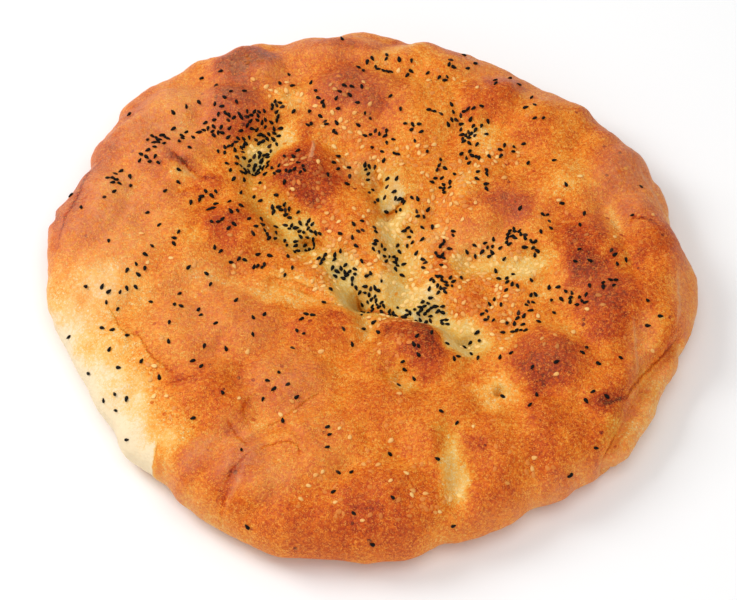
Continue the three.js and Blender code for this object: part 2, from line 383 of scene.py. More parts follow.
# Thin folds and tears, and edges where the colour changes at once.
FOLDS = (
    # pale side: its inner edge, and the lobe that lies over it
    Fold(0.10, -0.6, 0.12, 5, ((-126, -18), (-121, -22), (-118, -28), (-116, -33), (-112, -37), (-107, -38),
                               (-104, -43), (-102, -48), (-97, -53), (-92, -57), (-89, -62))),
    Fold(0.10, 0.6, 0.26, 7, ((-96, -90), (-98, -97), (-99, -103), (-97, -110))),
    Fold(0.07, -0.3, 0.04, 5, ((-97, -65), (-89, -64), (-84, -63), (-78, -63))),
    # left rim: an outer lip
    Fold(0.10, -0.5, -0.08, 5, ((-146, 5), (-144, 15), (-141, 28), (-134, 43), (-129, 60), (-123, 68))),
    # left: lobes of dough pressed against one another
    Fold(0.07, -0.3, 0.06, 4, ((-68, -83), (-65, -86), (-62, -90), (-59, -95), (-55, -101))),
    Fold(0.06, -0.3, 0.09, 6, ((-54, -101), (-58, -105), (-61, -108), (-64, -112), (-66, -117))),
    Fold(0.03, 0.3, -0.04, 4, ((-54, -91), (-57, -85), (-59, -79), (-58, -75), (-55, -71), (-50, -68),
                               (-44, -63))),
    Fold(0.16, -0.4, 0.0, 3, ((-52, -101), (-48, -98), (-44, -97), (-38, -97), (-34, -100), (-33, -106))),
    Fold(0.06, 0.5, -0.05, 4, ((-52, -88), (-44, -84), (-37, -79), (-32, -74), (-28, -71), (-23, -66))),
    Fold(0.10, -0.4, 0.08, 5, ((-68, -130), (-67, -124), (-65, -119))),
    Fold(0.21, 0.5, 0.06, 4, ((-96, 65), (-92, 61), (-89, 59), (-86, 56), (-82, 53), (-77, 50), (-72, 49))),
    Fold(0.09, 0.4, 0.12, 4, ((-80, 47), (-84, 46), (-88, 44), (-93, 42))),
    # middle: edges of the valleys
    Fold(0.25, 0.6, 0.0, 3, ((0, 63), (1, 59), (3, 54), (5, 49))),
    Fold(0.34, 0.8, -0.20, 5, ((3, 36), (8, 38), (12, 39), (17, 43))),
    Fold(-0.30, 0.5, 0.0, 4, ((-30, 56), (-29, 64), (-28, 74))),
    Fold(0.30, 0.8, 0.0, 4, ((-9, -2), (-8, -7), (-5, -12), (0, -16), (6, -19), (12, -20))),
    Fold(0.08, -0.8, -0.22, 8, ((-1, -28), (5, -24), (12, -22), (19, -25), (25, -32), (30, -39), (33, -46))),
    Fold(0.16, 0.5, 0.0, 3, ((-37, 21), (-31, 22), (-26, 19), (-22, 14))),
    Fold(0.05, 0.3, -0.14, 6, ((-26, -28), (-21, -23), (-15, -23), (-10, -29))),
    Fold(0.08, 0.6, -0.06, 5, ((-52, -3), (-45, -3), (-38, -4), (-31, -7), (-24, -10), (-17, -16))),
    Fold(0.10, 0.4, 0.0, 3, ((-46, -9), (-37, -13), (-31, -18), (-27, -25))),
    # right
    Fold(0.30, 0.4, 0.0, 3, ((104, -99), (107, -94), (109, -89), (111, -84))),
    Fold(0.22, 0.8, 0.04, 4, ((109, -75), (115, -66), (120, -59), (126, -52), (132, -45), (138, -37),
                              (144, -28))),
    Fold(0.24, 0.3, 0.10, 6, ((100, -77), (107, -73), (114, -68))),
    # pale lines along the domes' edges here are painted highlights
    Fold(-0.12, 0.3, 0.0, 3, ((118, -62), (119, -50), (118, -38), (117, -28))),
    Fold(-0.14, 0.3, 0.0, 3, ((136, -33), (138, -21), (139, -9), (138, 3))),
    Fold(-0.14, 0.3, 0.0, 3, ((136, 31), (132, 42), (128, 51), (121, 60))),
    Fold(0.16, -0.3, 0.0, 3, ((117, 23), (120, 27), (125, 25), (130, 19))),
)

# Patches of the crust that are paler or darker than the pillows and dents make them. Some paler ones are
# painted light, lifting hollows that the relief shades.
TINTS = tuple(Patch(*row) for row in (
    # paler
    (-120, -54, 26, 52, 27, -0.13), (-138, -12, 17, 24, 10, -0.20), (-45, 70, 6, 12, -30, -0.42),
    (-56, 62, 7, 7, 0, -0.32), (-34, 22, 8, 8, 0, -0.10), (-13, 6, 10, 7, 0, -0.25),
    (7, 36, 6, 14, 0, -0.30), (24, 2, 19, 24, 0, -0.20), (58, 3, 17, 8, 0, -0.16),
    (42, -34, 12, 11, 0, -0.38), (56, -69, 10, 14, 0, -0.26), (12, -60, 6, 9, 0, -0.25),
    (35, -113, 8, 20, -5, -0.30), (-4, -30, 7, 8, 0, -0.28), (-45, -8, 31, 8, -12, -0.24),
    (-39, 93, 7, 7, 0, -0.25), (-84, 55, 16, 7, 0, -0.20), (13, 123, 11, 6, 0, -0.20),
    (52, 78, 11, 12, 0, -0.20), (110, 22, 4, 16, -15, -0.22), (92, 52, 10, 14, 0, -0.12),
    (50, 102, 2, 9, 10, -0.18), (-77, -7, 17, 7, -10, -0.07), (79, -3, 17, 12, 0, -0.12),
    (-116, -14, 18, 13, -20, -0.20), (-46, -112, 9, 8, 0, -0.08), (-11, 54, 6, 6, 0, -0.14),
    (30, -35, 9, 5, -35, -0.30), (10, -6, 8, 6, 0, -0.10), (26, -10, 7, 6, 0, -0.12),
    (96, -37, 10, 7, 0, -0.10), (45, 45, 10, 8, 0, -0.12), (-2, 56, 6, 8, 0, -0.12),
    (90, -32, 18, 7, 0, -0.12), (-144, 20, 7, 12, 0, -0.10), (121, 72, 6, 10, -35, -0.10),
    (138, 34, 6, 10, 0, -0.14), (-40, 36, 7, 11, 40, -0.24), (-17, 60, 8, 11, 0, -0.15),
    (4, 17, 6, 11, 0, -0.20), (-2, -4, 9, 7, 0, -0.24), (25, -20, 15, 8, -20, -0.34),
    (-9, -33, 6, 7, 0, -0.18), (3, -44, 8, 6, 0, -0.14), (39, -53, 7, 6, 0, -0.18),
    (54, 15, 9, 6, 0, -0.14), (65, -42, 13, 11, 0, -0.12), (119, -16, 6, 26, 0, -0.13),
    (109, 13, 7, 10, -15, -0.12), (-52, 19, 6, 8, 0, -0.12), (-90, 77, 10, 5, 0, -0.10),
    (-119, 42, 10, 9, 0, -0.10), (-57, -118, 9, 9, 0, -0.10), (63, -95, 7, 13, 0, -0.12),
    (84, -98, 9, 9, 0, -0.08), (-55, -79, 7, 7, 0, -0.12), (-28, -69, 6, 6, 0, -0.08),
    (78, -49, 13, 10, 0, -0.05), (121, -35, 8, 9, 0, -0.17), (-111, -78, 14, 24, 25, -0.05),
    (-143, -14, 8, 8, 0, -0.04), (120, 20, 7, 10, 0, -0.08), (-56, -84, 4, 5, 0, -0.08),
    (-80, 59, 6, 3, -40, -0.14), (-91, 53, 6, 4, 0, -0.16),
    # darker
    (-84, -61, 11, 4, 0, 0.10), (-6, -132, 11, 9, 0, 0.10), (72, -93, 14, 14, 0, 0.06),
    (-24, -140, 16, 5, 0, 0.15), (-11, 128, 20, 6, 0, 0.22), (32, 126, 17, 4, -5, 0.18),
    (-136, 46, 10, 34, -25, 0.26), (-143, 14, 8, 16, 0, 0.08), (-112, 94, 16, 9, 40, 0.20),
    (-61, 118, 18, 8, 0, 0.22), (54, 40, 14, 8, 20, 0.10), (66, 36, 10, 9, 0, 0.16),
    (108, -72, 10, 8, 0, 0.22), (122, -14, 6, 33, 0, 0.12), (101, -95, 11, 17, 0, 0.14),
    (-114, 72, 18, 8, 30, 0.10), (-33, -126, 17, 13, 0, 0.05), (3, -142, 12, 7, 0, 0.09),
    (131, -44, 7, 15, -20, 0.12), (-135, 50, 7, 14, -25, 0.10), (-128, -14, 12, 10, 0, 0.06),
    (41, -103, 6, 9, 0, 0.10), (81, -112, 11, 7, 0, 0.10), (-66, -112, 9, 7, 0, 0.08),
    (-96, 58, 12, 9, 0, 0.10), (-78, 49, 8, 7, 0, 0.16), (-69, 21, 10, 8, 0, 0.10),
    (3, 87, 12, 9, 0, 0.12), (22, 62, 8, 14, 0, 0.06), (74, 76, 14, 11, 0, 0.12),
    (106, 84, 9, 7, -35, 0.12), (88, 28, 8, 9, 0, 0.14), (86, -3, 9, 7, 0, 0.10),
    (-16, 116, 16, 6, 0, 0.08), (13, 129, 10, 5, 0, 0.12), (-66, 100, 26, 12, 0, 0.06),
    (32, 7, 5, 13, 0, 0.30), (19, -1, 8, 5, 0, 0.16), (-1, -31, 7, 6, 0, 0.26),
    (45, -31, 9, 6, 0, 0.10), (64, -74, 7, 9, 0, 0.15), (48, -60, 8, 6, 0, 0.10),
    (40, -101, 5, 9, 0, 0.18), (-19, 30, 7, 8, 0, 0.12), (-79, 58, 13, 5, 0, 0.18),
    (-57, -2, 12, 8, 0, 0.13), (-42, 98, 5, 5, 0, 0.10), (-36, 76, 5, 5, 0, 0.15),
    (91, -4, 9, 8, 0, 0.08), (-93, -60, 9, 6, 0, 0.10), (-101, -50, 8, 8, 0, 0.07),
    (-56, 111, 9, 7, 0, 0.08), (-88, -106, 12, 12, 0, 0.18), (-93, 62, 6, 4, -20, 0.22),
    (-77, 49, 6, 4, -20, 0.08),
))

# The side that the oven's heat hardly reached.
PALE_FLANK = (
    Oval(-144, -72, 64, 52, -64),
    Oval(-120, -98, 34, 38, -64),
)

# Where the rim stands further out or in than its even curve.
BULGES = tuple(Bulge(*row) for row in (
    (345, 6, 4.4), (6, 5, 1.8), (33, 4, -1.8), (64, 3, -2.2), (94, 8, 2.0), (111, 4, 1.7),
    (120, 3, -2.6), (139, 4, 1.9), (145, 3, -1.8), (151, 3, 2.2), (162, 5, -2.2), (186, 5, 1.4),
    (220, 4, 2.4), (233, 6, -1.8), (254, 6, -2.8), (275, 8, -2.6), (288, 4, -1.6), (310, 4, -2.0),
    (320, 4, 1.8),
))

# Where the egg wash dried pinkish, together with painted sheen: a pinkish reflection and highlights painted
# on rims and dome edges.
BLOOMS_AND_SHEEN = tuple(Patch(*row) for row in (
    (-40, -65, 20, 22, 0, 0.6), (-61, -35, 20, 17, 0, 0.5), (-79, -24, 30, 34, 0, 0.6),
    (-60, -99, 14, 19, 0, 0.8), (-46, -112, 14, 13, 0, 0.6), (45, 18, 26, 10, -5, 0.4),
    (-5, 58, 12, 8, 0, 0.5), (-28, -98, 18, 19, 0, 0.35), (-70, 98, 23, 19, 0, 0.5),
    (-11, 95, 28, 22, 0, 0.4), (-126, 40, 36, 54, 0, 1.0), (-104, 82, 40, 32, 40, 1.0),
    (-58, 112, 30, 14, 10, 0.7), (-128, -14, 18, 18, 0, 0.6), (78, -49, 18, 16, 0, 0.15),
    (63, 32, 18, 17, 0, 0.30), (99, -13, 18, 14, 0, 0.20), (117, -69, 4, 17, -15, 0.8),
    (126, 56, 22, 40, -30, 0.9), (-22, 124, 40, 9, 0, 0.6), (60, 112, 40, 10, -25, 0.6),
    (10, 45, 4, 8, 0, 0.7), (-59, -113, 12, 1.8, 62, 1.1), (-76, -98, 12, 7, 40, 0.9),
    (-87, 55, 8, 1.8, -48, 1.2), (121, -46, 7, 20, -10, 0.6), (142, -8, 8, 26, 0, 0.7),
))

# Where the black seeds fell together, and how many.
NIGELLA_DRIFTS = tuple(Drift(*row) for row in (
    # far left pillow and the torn fold before it
    (-67, 78, 11, 4, 0, 26), (-71, 86, 8, 6, 0, 7), (-57, 82, 4, 3, 0, 8), (-47, 88, 6, 5, 0, 11),
    (-50, 77, 6, 4, 0, 15), (-65, 72, 4, 3, 0, 7), (-64, 67, 8, 4, 0, 11), (-57, 60, 7, 3, 10, 14),
    (-66, 55, 6, 4, 0, 6), (-53, 66, 4, 5, 0, 7), (-37, 57, 5, 8, 0, 9),
    # valley down the middle
    (-47, 46, 7, 9, 0, 11), (-43, 37, 4, 3, 0, 5), (-37, 30, 8, 3, -55, 12), (-30, 23, 3, 4, 0, 13),
    (-36, 18, 4, 3, 0, 5), (-18, 6, 8, 4, -25, 18), (-3, -3, 7, 3, -15, 8), (-3, -9, 4, 5, 0, 17),
    (9, -17, 7, 3, -15, 13), (18, -21, 5, 3, 0, 8), (25, -17, 6, 4, 10, 14), (31, -7, 5, 4, 0, 16),
    (32, -24, 2.5, 2, 0, 4),
    # left
    (-101, 71, 4, 3, 0, 9), (-104, 61, 4, 5, 0, 8), (-115, 51, 8, 4, 25, 8), (-89, 73, 5, 3, 0, 4),
    (-76, 41, 4, 2, 0, 4), (-69, 27, 10, 8, 0, 13), (-49, 22, 6, 6, 0, 11), (-67, 9, 7, 4, 0, 5),
    (-47, 4, 9, 7, 0, 9),
    # far side
    (4, 115, 14, 5, 0, 15), (27, 109, 6, 4, 0, 4), (39, 119, 6, 5, 0, 5), (-17, 90, 15, 9, 0, 16),
    (-40, 100, 9, 10, 0, 6), (-74, 100, 12, 10, 0, 6), (-23, 80, 7, 4, 0, 6), (5, 86, 12, 9, 0, 5),
    (40, 84, 5, 7, 30, 12), (44, 75, 3.5, 4, 0, 9), (50, 82, 4, 7, 0, 6), (27, 88, 8, 4, 0, 3),
    # middle
    (4, 71, 8, 8, 0, 12), (20, 72, 8, 6, 0, 6), (-3, 59, 4, 3, 0, 6), (-14, 59, 6, 4, 0, 4),
    (7, 49, 6, 3, -30, 4), (10, 38, 4, 3, 20, 7), (-10, 44, 12, 8, 0, 8), (-7, 15, 7, 9, 0, 12),
    (3, 12, 6, 4, 0, 9), (20, 36, 6, 5, 0, 4), (30, 54, 3, 9, 0, 9), (44, 62, 4, 4, 0, 7),
    (57, 67, 8, 4, 0, 5), (51, 47, 4, 5, 0, 6), (35, 44, 5, 7, 0, 5), (23, 22, 12, 7, 0, 16),
    (15, 7, 8, 8, 0, 10), (32, 11, 3, 6, 0, 8),
    # right
    (56, 14, 12, 3, 8, 18), (64, 19, 4, 3, 0, 6), (71, 10, 4, 3, 0, 5), (78, 24, 3, 7, 0, 5),
    (61, -8, 4, 6, 0, 5), (73, -17, 3, 3, 0, 4), (70, -27, 4, 7, 0, 8), (63, -32, 4, 4, 0, 6),
    (52, -23, 3, 5, 0, 6), (90, -16, 9, 4, -35, 12), (104, -12, 6, 3, -10, 6), (112, 1, 3, 8, 15, 4),
    (94, 2, 5, 4, 0, 3),
))

# Where the pale seeds fell.
SESAME_DRIFTS = tuple(Drift(*row) for row in (
    # far side
    (-48, 104, 9, 5, 0, 14), (-34, 100, 4, 4, 0, 3), (-13, 93, 12, 9, 0, 12), (-20, 105, 9, 6, 0, 4),
    (10, 117, 8, 6, 0, 3), (-61, 116, 7, 4, 0, 5), (20, 97, 7, 6, 0, 3), (35, 102, 11, 7, 0, 7),
    (69, 81, 5, 6, 0, 2),
    # middle
    (-20, 79, 13, 8, 0, 16), (-6, 69, 11, 7, 0, 22), (10, 65, 8, 7, 0, 20), (23, 61, 7, 12, 0, 16),
    (-10, 59, 8, 6, 0, 11), (-30, 43, 10, 7, 0, 12), (-33, 52, 8, 9, 0, 9), (-22, 31, 10, 6, 0, 9),
    (-13, 24, 8, 7, 0, 8), (-1, 23, 6, 7, 0, 6), (13, 33, 6, 7, 0, 13), (10, 24, 6, 7, 0, 13),
    (24, 27, 7, 8, 0, 13), (32, 38, 5, 10, 0, 16), (41, 37, 6, 8, 0, 14), (43, 52, 7, 6, 0, 13),
    (51, 61, 9, 6, 0, 14), (61, 65, 7, 4, 0, 9), (36, 24, 5, 6, 0, 7), (31, 9, 4, 10, 0, 20),
    (38, 6, 5, 6, 0, 10), (13, 8, 11, 5, 0, 13), (17, -3, 7, 5, 0, 9), (26, -11, 9, 5, 0, 14),
    (-2, 4, 7, 5, 0, 9), (-13, 10, 4, 4, 0, 7), (-22, 5, 7, 6, 0, 15), (-15, 12, 6, 4, 0, 9),
    (-34, 2, 9, 5, 0, 9), (-24, -6, 6, 4, 0, 8), (-18, -15, 5, 3, 0, 3), (7, -25, 9, 4, 0, 15),
    (13, -39, 7, 4, 0, 9), (0, -42, 9, 4, 0, 5), (-25, -42, 6, 3, 0, 3), (11, -50, 12, 3, 0, 4),
    # left
    (-41, 10, 6, 4, 0, 6), (-62, 2, 6, 5, 0, 7), (-49, 21, 4, 4, 0, 3), (-39, 58, 5, 4, 0, 5),
    (-52, 54, 4, 6, 0, 5), (-58, 70, 5, 4, 0, 4), (-65, 53, 4, 3, 0, 2), (-79, 67, 6, 6, 0, 3),
    (-66, 17, 2, 2, 0, 1), (-89, 0, 6, 7, 0, 7), (-91, -76, 8, 7, 0, 4), (-102, -64, 8, 14, 0, 6),
    # right
    (50, 12, 6, 3, 0, 6), (58, 4, 10, 9, 0, 18), (70, 3, 5, 8, 0, 7), (44, -7, 11, 4, 0, 14),
    (38, -16, 5, 6, 0, 11), (50, -20, 6, 4, 0, 11), (60, -17, 6, 6, 0, 13), (63, -12, 4, 3, 0, 6),
    (67, -29, 9, 7, 0, 9), (55, -32, 6, 6, 0, 9), (45, -26, 6, 6, 0, 4), (45, -39, 4, 4, 0, 6),
    (62, -47, 4, 4, 0, 2), (84, -45, 9, 8, 0, 6), (92, -3, 8, 8, 0, 4), (103, -23, 10, 9, 0, 3),
    (86, 35, 9, 14, 0, 6), (105, 46, 12, 8, 0, 4), (100, 20, 12, 8, 0, 3),
    # near side
    (-39, -81, 7, 7, 0, 8), (-19, -91, 7, 6, 0, 4), (-25, -112, 3, 4, 0, 3), (-13, -125, 8, 6, 0, 5),
    (1, -115, 6, 9, 0, 7), (9, -89, 5, 4, 0, 3), (7, -70, 6, 6, 0, 4), (16, -105, 6, 7, 0, 4),
    (29, -123, 8, 8, 0, 10), (16, -130, 6, 8, 0, 5), (25, -134, 9, 9, 0, 6), (5, -140, 7, 8, 0, 4),
    (-24, -131, 9, 8, 0, 4), (-37, -117, 12, 8, 0, 3), (63, -110, 9, 10, 0, 8),
    (76, -113, 6, 6, 0, 5), (47, -92, 9, 7, 0, 3), (40, -64, 4, 4, 0, 2),
))

# Black seeds that lie alone or in twos and threes.
LONE_NIGELLA = (
    # pale side and the left
    (-132, -10), (-124, -12), (-121, -15), (-116, -15), (-113, -13), (-109, -12), (-122, -20),
    (-117, -23), (-124, -32), (-119, -34), (-112, -38), (-141, -33), (-120, -44), (-105, -52),
    (-116, -53), (-97, -60), (-131, -53), (-117, -66), (-112, -69), (-124, -68), (-117, -73),
    (-111, -88), (-105, 4), (-113, -4), (-109, -1), (-105, -3), (-108, -6), (-122, 13), (-105, 31),
    (-99, 22), (-134, 32), (-137, 43), (-124, 37), (-120, 41), (-118, 46), (-115, 90), (-94, 85),
    (-88, 88), (-94, 78), (-88, 77), (-98, 68), (-86, 65), (-91, 54), (-91, 48), (-97, 42),
    (-85, 37), (-81, 39), (-62, 44), (-56, 44), (-53, 42), (-90, 17), (-92, 14), (-92, 11),
    (-102, 9), (-85, -2), (-77, -4), (-75, -9), (-89, -14), (-91, -22), (-88, -23), (-102, -19),
    (-80, -24), (-79, -27), (-93, -33), (-93, -43), (-77, -45), (-67, -46), (-72, -33), (-63, -20),
    (-55, -30), (-55, -39), (-50, -27), (-82, -53), (-78, -57), (-68, -72), (-81, -83),
    # near side
    (-48, -65), (-43, -60), (-39, -67), (-45, -69), (-50, -73), (-35, -72), (-41, -84), (-57, -136),
    (-37, -44), (-10, -40), (-21, -89), (-20, -93), (-21, -100), (7, -101), (-16, -111), (-10, -111),
    (-18, -121), (8, -125), (-9, -131), (-1, -147), (36, -137), (28, -105), (30, -81), (37, -86),
    (18, -60), (11, -64), (13, -52), (14, -55), (18, -45), (20, -46), (20, -50), (-33, -29),
    (-31, -26), (-28, -27), (-35, -35), (-32, -37), (-14, -34), (-6, -22), (-5, -31), (2, -33),
    (0, -26), (-20, -9), (-23, -17), (33, -42), (26, -38), (36, -51), (38, -49), (44, -45),
    (47, -48), (41, -36), (44, -34), (48, -36), (47, -32), (57, -49), (62, -48), (58, -70),
    # right
    (73, -71), (70, -77), (96, -46), (94, -50), (101, -55), (111, -51), (124, -33), (129, -29),
    (98, -70), (95, -74), (104, -71), (99, -95), (88, -110), (91, -112), (82, -57), (82, -24),
    (124, -21), (84, 59), (89, 43), (87, 34), (95, 21), (124, 47), (119, 28), (74, 8), (72, -6),
    (60, 7), (56, 2), (61, -3), (64, -1), (40, -3), (55, -15), (58, -19), (81, -17), (72, 59),
    (65, 66), (61, 69), (70, 70), (75, 89), (79, 81), (75, 81), (71, 88), (57, 105), (57, 101),
    (68, 104), (74, 96), (64, 109), (48, 118), (-15, 129),
)


# --- The loaf's form ---


@dataclass(frozen=True)
class Loaf:
    """The loaf's form: where its skin lies.

    Attributes:
        crown: Dough level near the rim, before the pillows rise from it.
        centre_dip: How much lower the pressed centre lies.
        dip_span: Shares of the radius between which the dip fades.
        nose: Height of the widest line of the side.
        shoulder: How far in from the widest line the top has levelled.
        shoulder_shape: Exponent of the shoulder's superellipse.
        undercurve: How far in from the widest line the flat underside starts.
        under_shape: Exponent of the lower quarter's superellipse.
        pillow_spread: How far pillows reach past their own edge, to meet in creases.
        pillow_shape: How sharply a pillow falls off to its foot.
        pillow_blend: Higher values keep neighbouring pillows more apart.
        groove_shape: How sharply a groove narrows towards its bottom.
        pit_shape: The same for a pit.
        ripples: Gentle waves, each a rise, radians per millimetre along X and Y, and a shift.
        unevenness: Noises of the skin, each a seed, a wavelength and a height.
        rim_radii: Plan radius of the widest line at every ten degrees from +X.
        bulges: Where the rim stands further out or in than these radii give.
        probe: How far to each side of a place the top is felt for its normal.
        offset: How far the loaf is moved.
    """

    crown: float = 29.0
    centre_dip: float = 5.0
    dip_span: Span = (0.2, 0.75)
    nose: float = 13.0
    shoulder: float = 36.0
    shoulder_shape: float = 2 / 2.4
    undercurve: float = 15.0
    under_shape: float = 2 / 2.2
    pillow_spread: float = 1.22
    pillow_shape: float = 1.2
    pillow_blend: float = 3.0
    groove_shape: float = 2.0
    pit_shape: float = 1.5
    ripples: tuple[tuple[float, float, float, float], ...] = (
        (0.5, 0.23, 0.11, 0.4),
        (0.4, -0.14, 0.27, 1.9),
        (0.35, 0.31, -0.22, 4.1),
    )
    unevenness: Layers = ((11, 9.0, 0.45), (12, 4.2, 0.24), (13, 2.4, 0.10))
    rim_radii: tuple[float, ...] = (
        149, 141, 145, 141, 141, 136, 138, 139, 138, 142, 143, 144,
        151, 153, 153, 148, 147, 152, 151, 146, 142, 141, 142, 140,
        144, 147, 143, 144, 142, 138, 137, 140, 146, 142, 142, 146,
    )
    bulges: tuple[Bulge, ...] = BULGES
    probe: float = 0.6
    offset: Vector = field(default_factory=lambda: Vector((0.0, 0.0, 0.0)))

    def rim_radius(self, angle: Array) -> Array:
        """Returns the plan radius of the widest line in each direction."""
        return self.even_radius(angle) + sum(bulge.reach(angle) for bulge in self.bulges)

    def even_radius(self, angle: Array) -> Array:
        """Draws a smooth curve through the named radii.

        Args:
            angle: Directions from the middle, in radians.

        Returns:
            The radius in each direction, without the bulges.
        """
        radii = np.array(self.rim_radii, dtype=float)
        place = np.mod(angle / (2 * math.pi), 1.0) * len(radii)
        index = np.floor(place).astype(int)
        t = place - index
        before, here, after, beyond = (radii[(index + step) % len(radii)] for step in (-1, 0, 1, 2))
        slope, next_slope, rise = (after - before) / 2, (beyond - here) / 2, after - here
        bend = slope + next_slope - 2 * rise
        return here + t * (slope + t * (3 * rise - 2 * slope - next_slope + t * bend))

    def crown_height(self, share: Array) -> Array:
        """Returns the height of the smooth top for a share of the rim's radius."""
        return self.crown - self.centre_dip * (1.0 - smoothstep(share, *self.dip_span))

    def pillow_rise(self, x: Array, y: Array) -> Array:
        """Blends the pillows together.

        Args:
            x: Places along X.
            y: Places along Y.

        Returns:
            How far the pillows stand out of the smooth loaf.
        """
        total = np.zeros_like(x)
        for pillow in PILLOWS:
            inside = pillow.inside(x, y, self.pillow_spread)
            total += (pillow.rise * inside**self.pillow_shape) ** self.pillow_blend
        return total ** (1.0 / self.pillow_blend)

    def relief(self, x: Array, y: Array) -> Array:
        """Adds up the pillows, dents and waves of the crust.

        Args:
            x: Places along X.
            y: Places along Y.

        Returns:
            How far the crust stands out of the smooth loaf.
        """
        relief = self.pillow_rise(x, y)
        for dent in GROOVES:
            relief -= dent.depth * dent.inside(x, y) ** self.groove_shape
        for dent in PITS:
            relief -= dent.depth * dent.inside(x, y) ** self.pit_shape
        for dent in CREASES:
            relief -= dent.depth * dent.inside(x, y)
        for rise, wave_x, wave_y, shift in self.ripples:
            relief += rise * np.sin(wave_x * x + wave_y * y + shift)
        return relief + layered_noise(self.unevenness, x, y)

    def edge_point(self, angle: Array, sweep: Array) -> Array:
        """Works out points of the rounded edge.

        Args:
            angle: Direction from the middle, in radians.
            sweep: A quarter turn at the shoulder's inner end, 0 on the widest line and minus a
                quarter turn where the flat underside starts.

        Returns:
            One row of X, Y and Z for each point.
        """
        radius = self.rim_radius(angle)
        upper = sweep >= 0
        shape = np.where(upper, self.shoulder_shape, self.under_shape)
        reach = np.where(upper, self.shoulder, self.undercurve)
        cosine = np.clip(np.cos(sweep), 0.0, None)
        sine = np.abs(np.sin(sweep))
        plan = radius - reach * (1.0 - cosine**shape)
        rise = np.where(upper, self.crown_height(plan / radius) - self.nose, self.nose)
        height = self.nose + np.sign(sweep) * rise * sine**shape
        outward = cosine ** (2.0 - shape) / reach
        upward = sine ** (2.0 - shape) / rise
        length = np.hypot(outward, upward)
        relief = self.relief(plan * np.cos(angle), plan * np.sin(angle)) * np.where(upper, 1.0, cosine)
        puffed = plan + relief * outward / length
        lift = relief * upward / length * upper
        return np.stack([puffed * np.cos(angle), puffed * np.sin(angle), height + lift], axis=-1)

    def top_point(self, angle: Array, plan: Array) -> Array:
        """Works out points of the top, its shoulder with it.

        Args:
            angle: Direction from the middle, in radians.
            plan: Distance from the middle, in the plan.

        Returns:
            One row of X, Y and Z for each point.
        """
        radius = self.rim_radius(angle)
        inset = np.clip((radius - plan) / self.shoulder, 0.0, 1.0)
        sweep = np.arccos((1.0 - inset) ** (1.0 / self.shoulder_shape))
        edge = self.edge_point(angle, sweep)
        x, y = plan * np.cos(angle), plan * np.sin(angle)
        flat = np.stack([x, y, self.crown_height(plan / radius) + self.relief(x, y)], axis=-1)
        return np.where((inset < 1.0)[:, None], edge, flat)

    def skin(self, x: Array, y: Array) -> tuple[Array, Array]:
        """Finds the top over places in the plan.

        Args:
            x: Places along X.
            y: Places along Y.

        Returns:
            Points of the top, one row of X, Y and Z for each place, and the normals there.
        """

        def point(shift_x: float, shift_y: float) -> Array:
            """Returns points of the top beside the places."""
            moved_x, moved_y = x + shift_x, y + shift_y
            return self.top_point(np.arctan2(moved_y, moved_x), np.hypot(moved_x, moved_y))

        across = point(self.probe, 0.0) - point(-self.probe, 0.0)
        up = point(0.0, self.probe) - point(0.0, -self.probe)
        normal = np.cross(across, up)
        return point(0.0, 0.0), normal / np.linalg.norm(normal, axis=1, keepdims=True)


# --- Meshes ---


class Field(Enum):
    """Numbers that a mesh's points carry for its finish."""

    BAKE = "bake"
    # Pinkish colour of dried egg wash, partly painted sheen.
    BLOOM_AND_SHEEN = "bloom_and_sheen"
    # Depth in a dent, for the painted shade there.
    DENT_SHADE = "dent"
    UNDER = "under"
    ACROSS = "across"
    LINE = "line"
    LIFT = "lift"
    SHADE = "shade"
    TONE = "tone"
    GLAZE = "glaze"


def make_object(name: str, mesh: bpy.types.Mesh, material: bpy.types.Material) -> bpy.types.Object:
    """Puts a mesh in the scene as an object at the origin.

    Args:
        name: The object's name.
        mesh: Its mesh, already in place and in metres.
        material: Its finish.

    Returns:
        The new object.
    """
    mesh.materials.append(material)
    mesh.polygons.foreach_set("use_smooth", np.ones(len(mesh.polygons), dtype=bool))
    made = bpy.data.objects.new(name, mesh)
    bpy.context.collection.objects.link(made)
    return made


def read_points(mesh: bpy.types.Mesh) -> Array:
    """Reads a mesh's points.

    Args:
        mesh: The mesh.

    Returns:
        One row of X, Y and Z for each point.
    """
    flat = np.empty(len(mesh.vertices) * 3)
    mesh.vertices.foreach_get("co", flat)
    return flat.reshape(-1, 3)


def write_field(mesh: bpy.types.Mesh, name: Field, values: Array) -> None:
    """Writes a number for every point of a mesh, for its finish to read."""
    attribute = mesh.attributes.new(name.value, "FLOAT", "POINT")
    attribute.data.foreach_set("value", np.asarray(values, dtype=np.float32))


# --- The crust ---


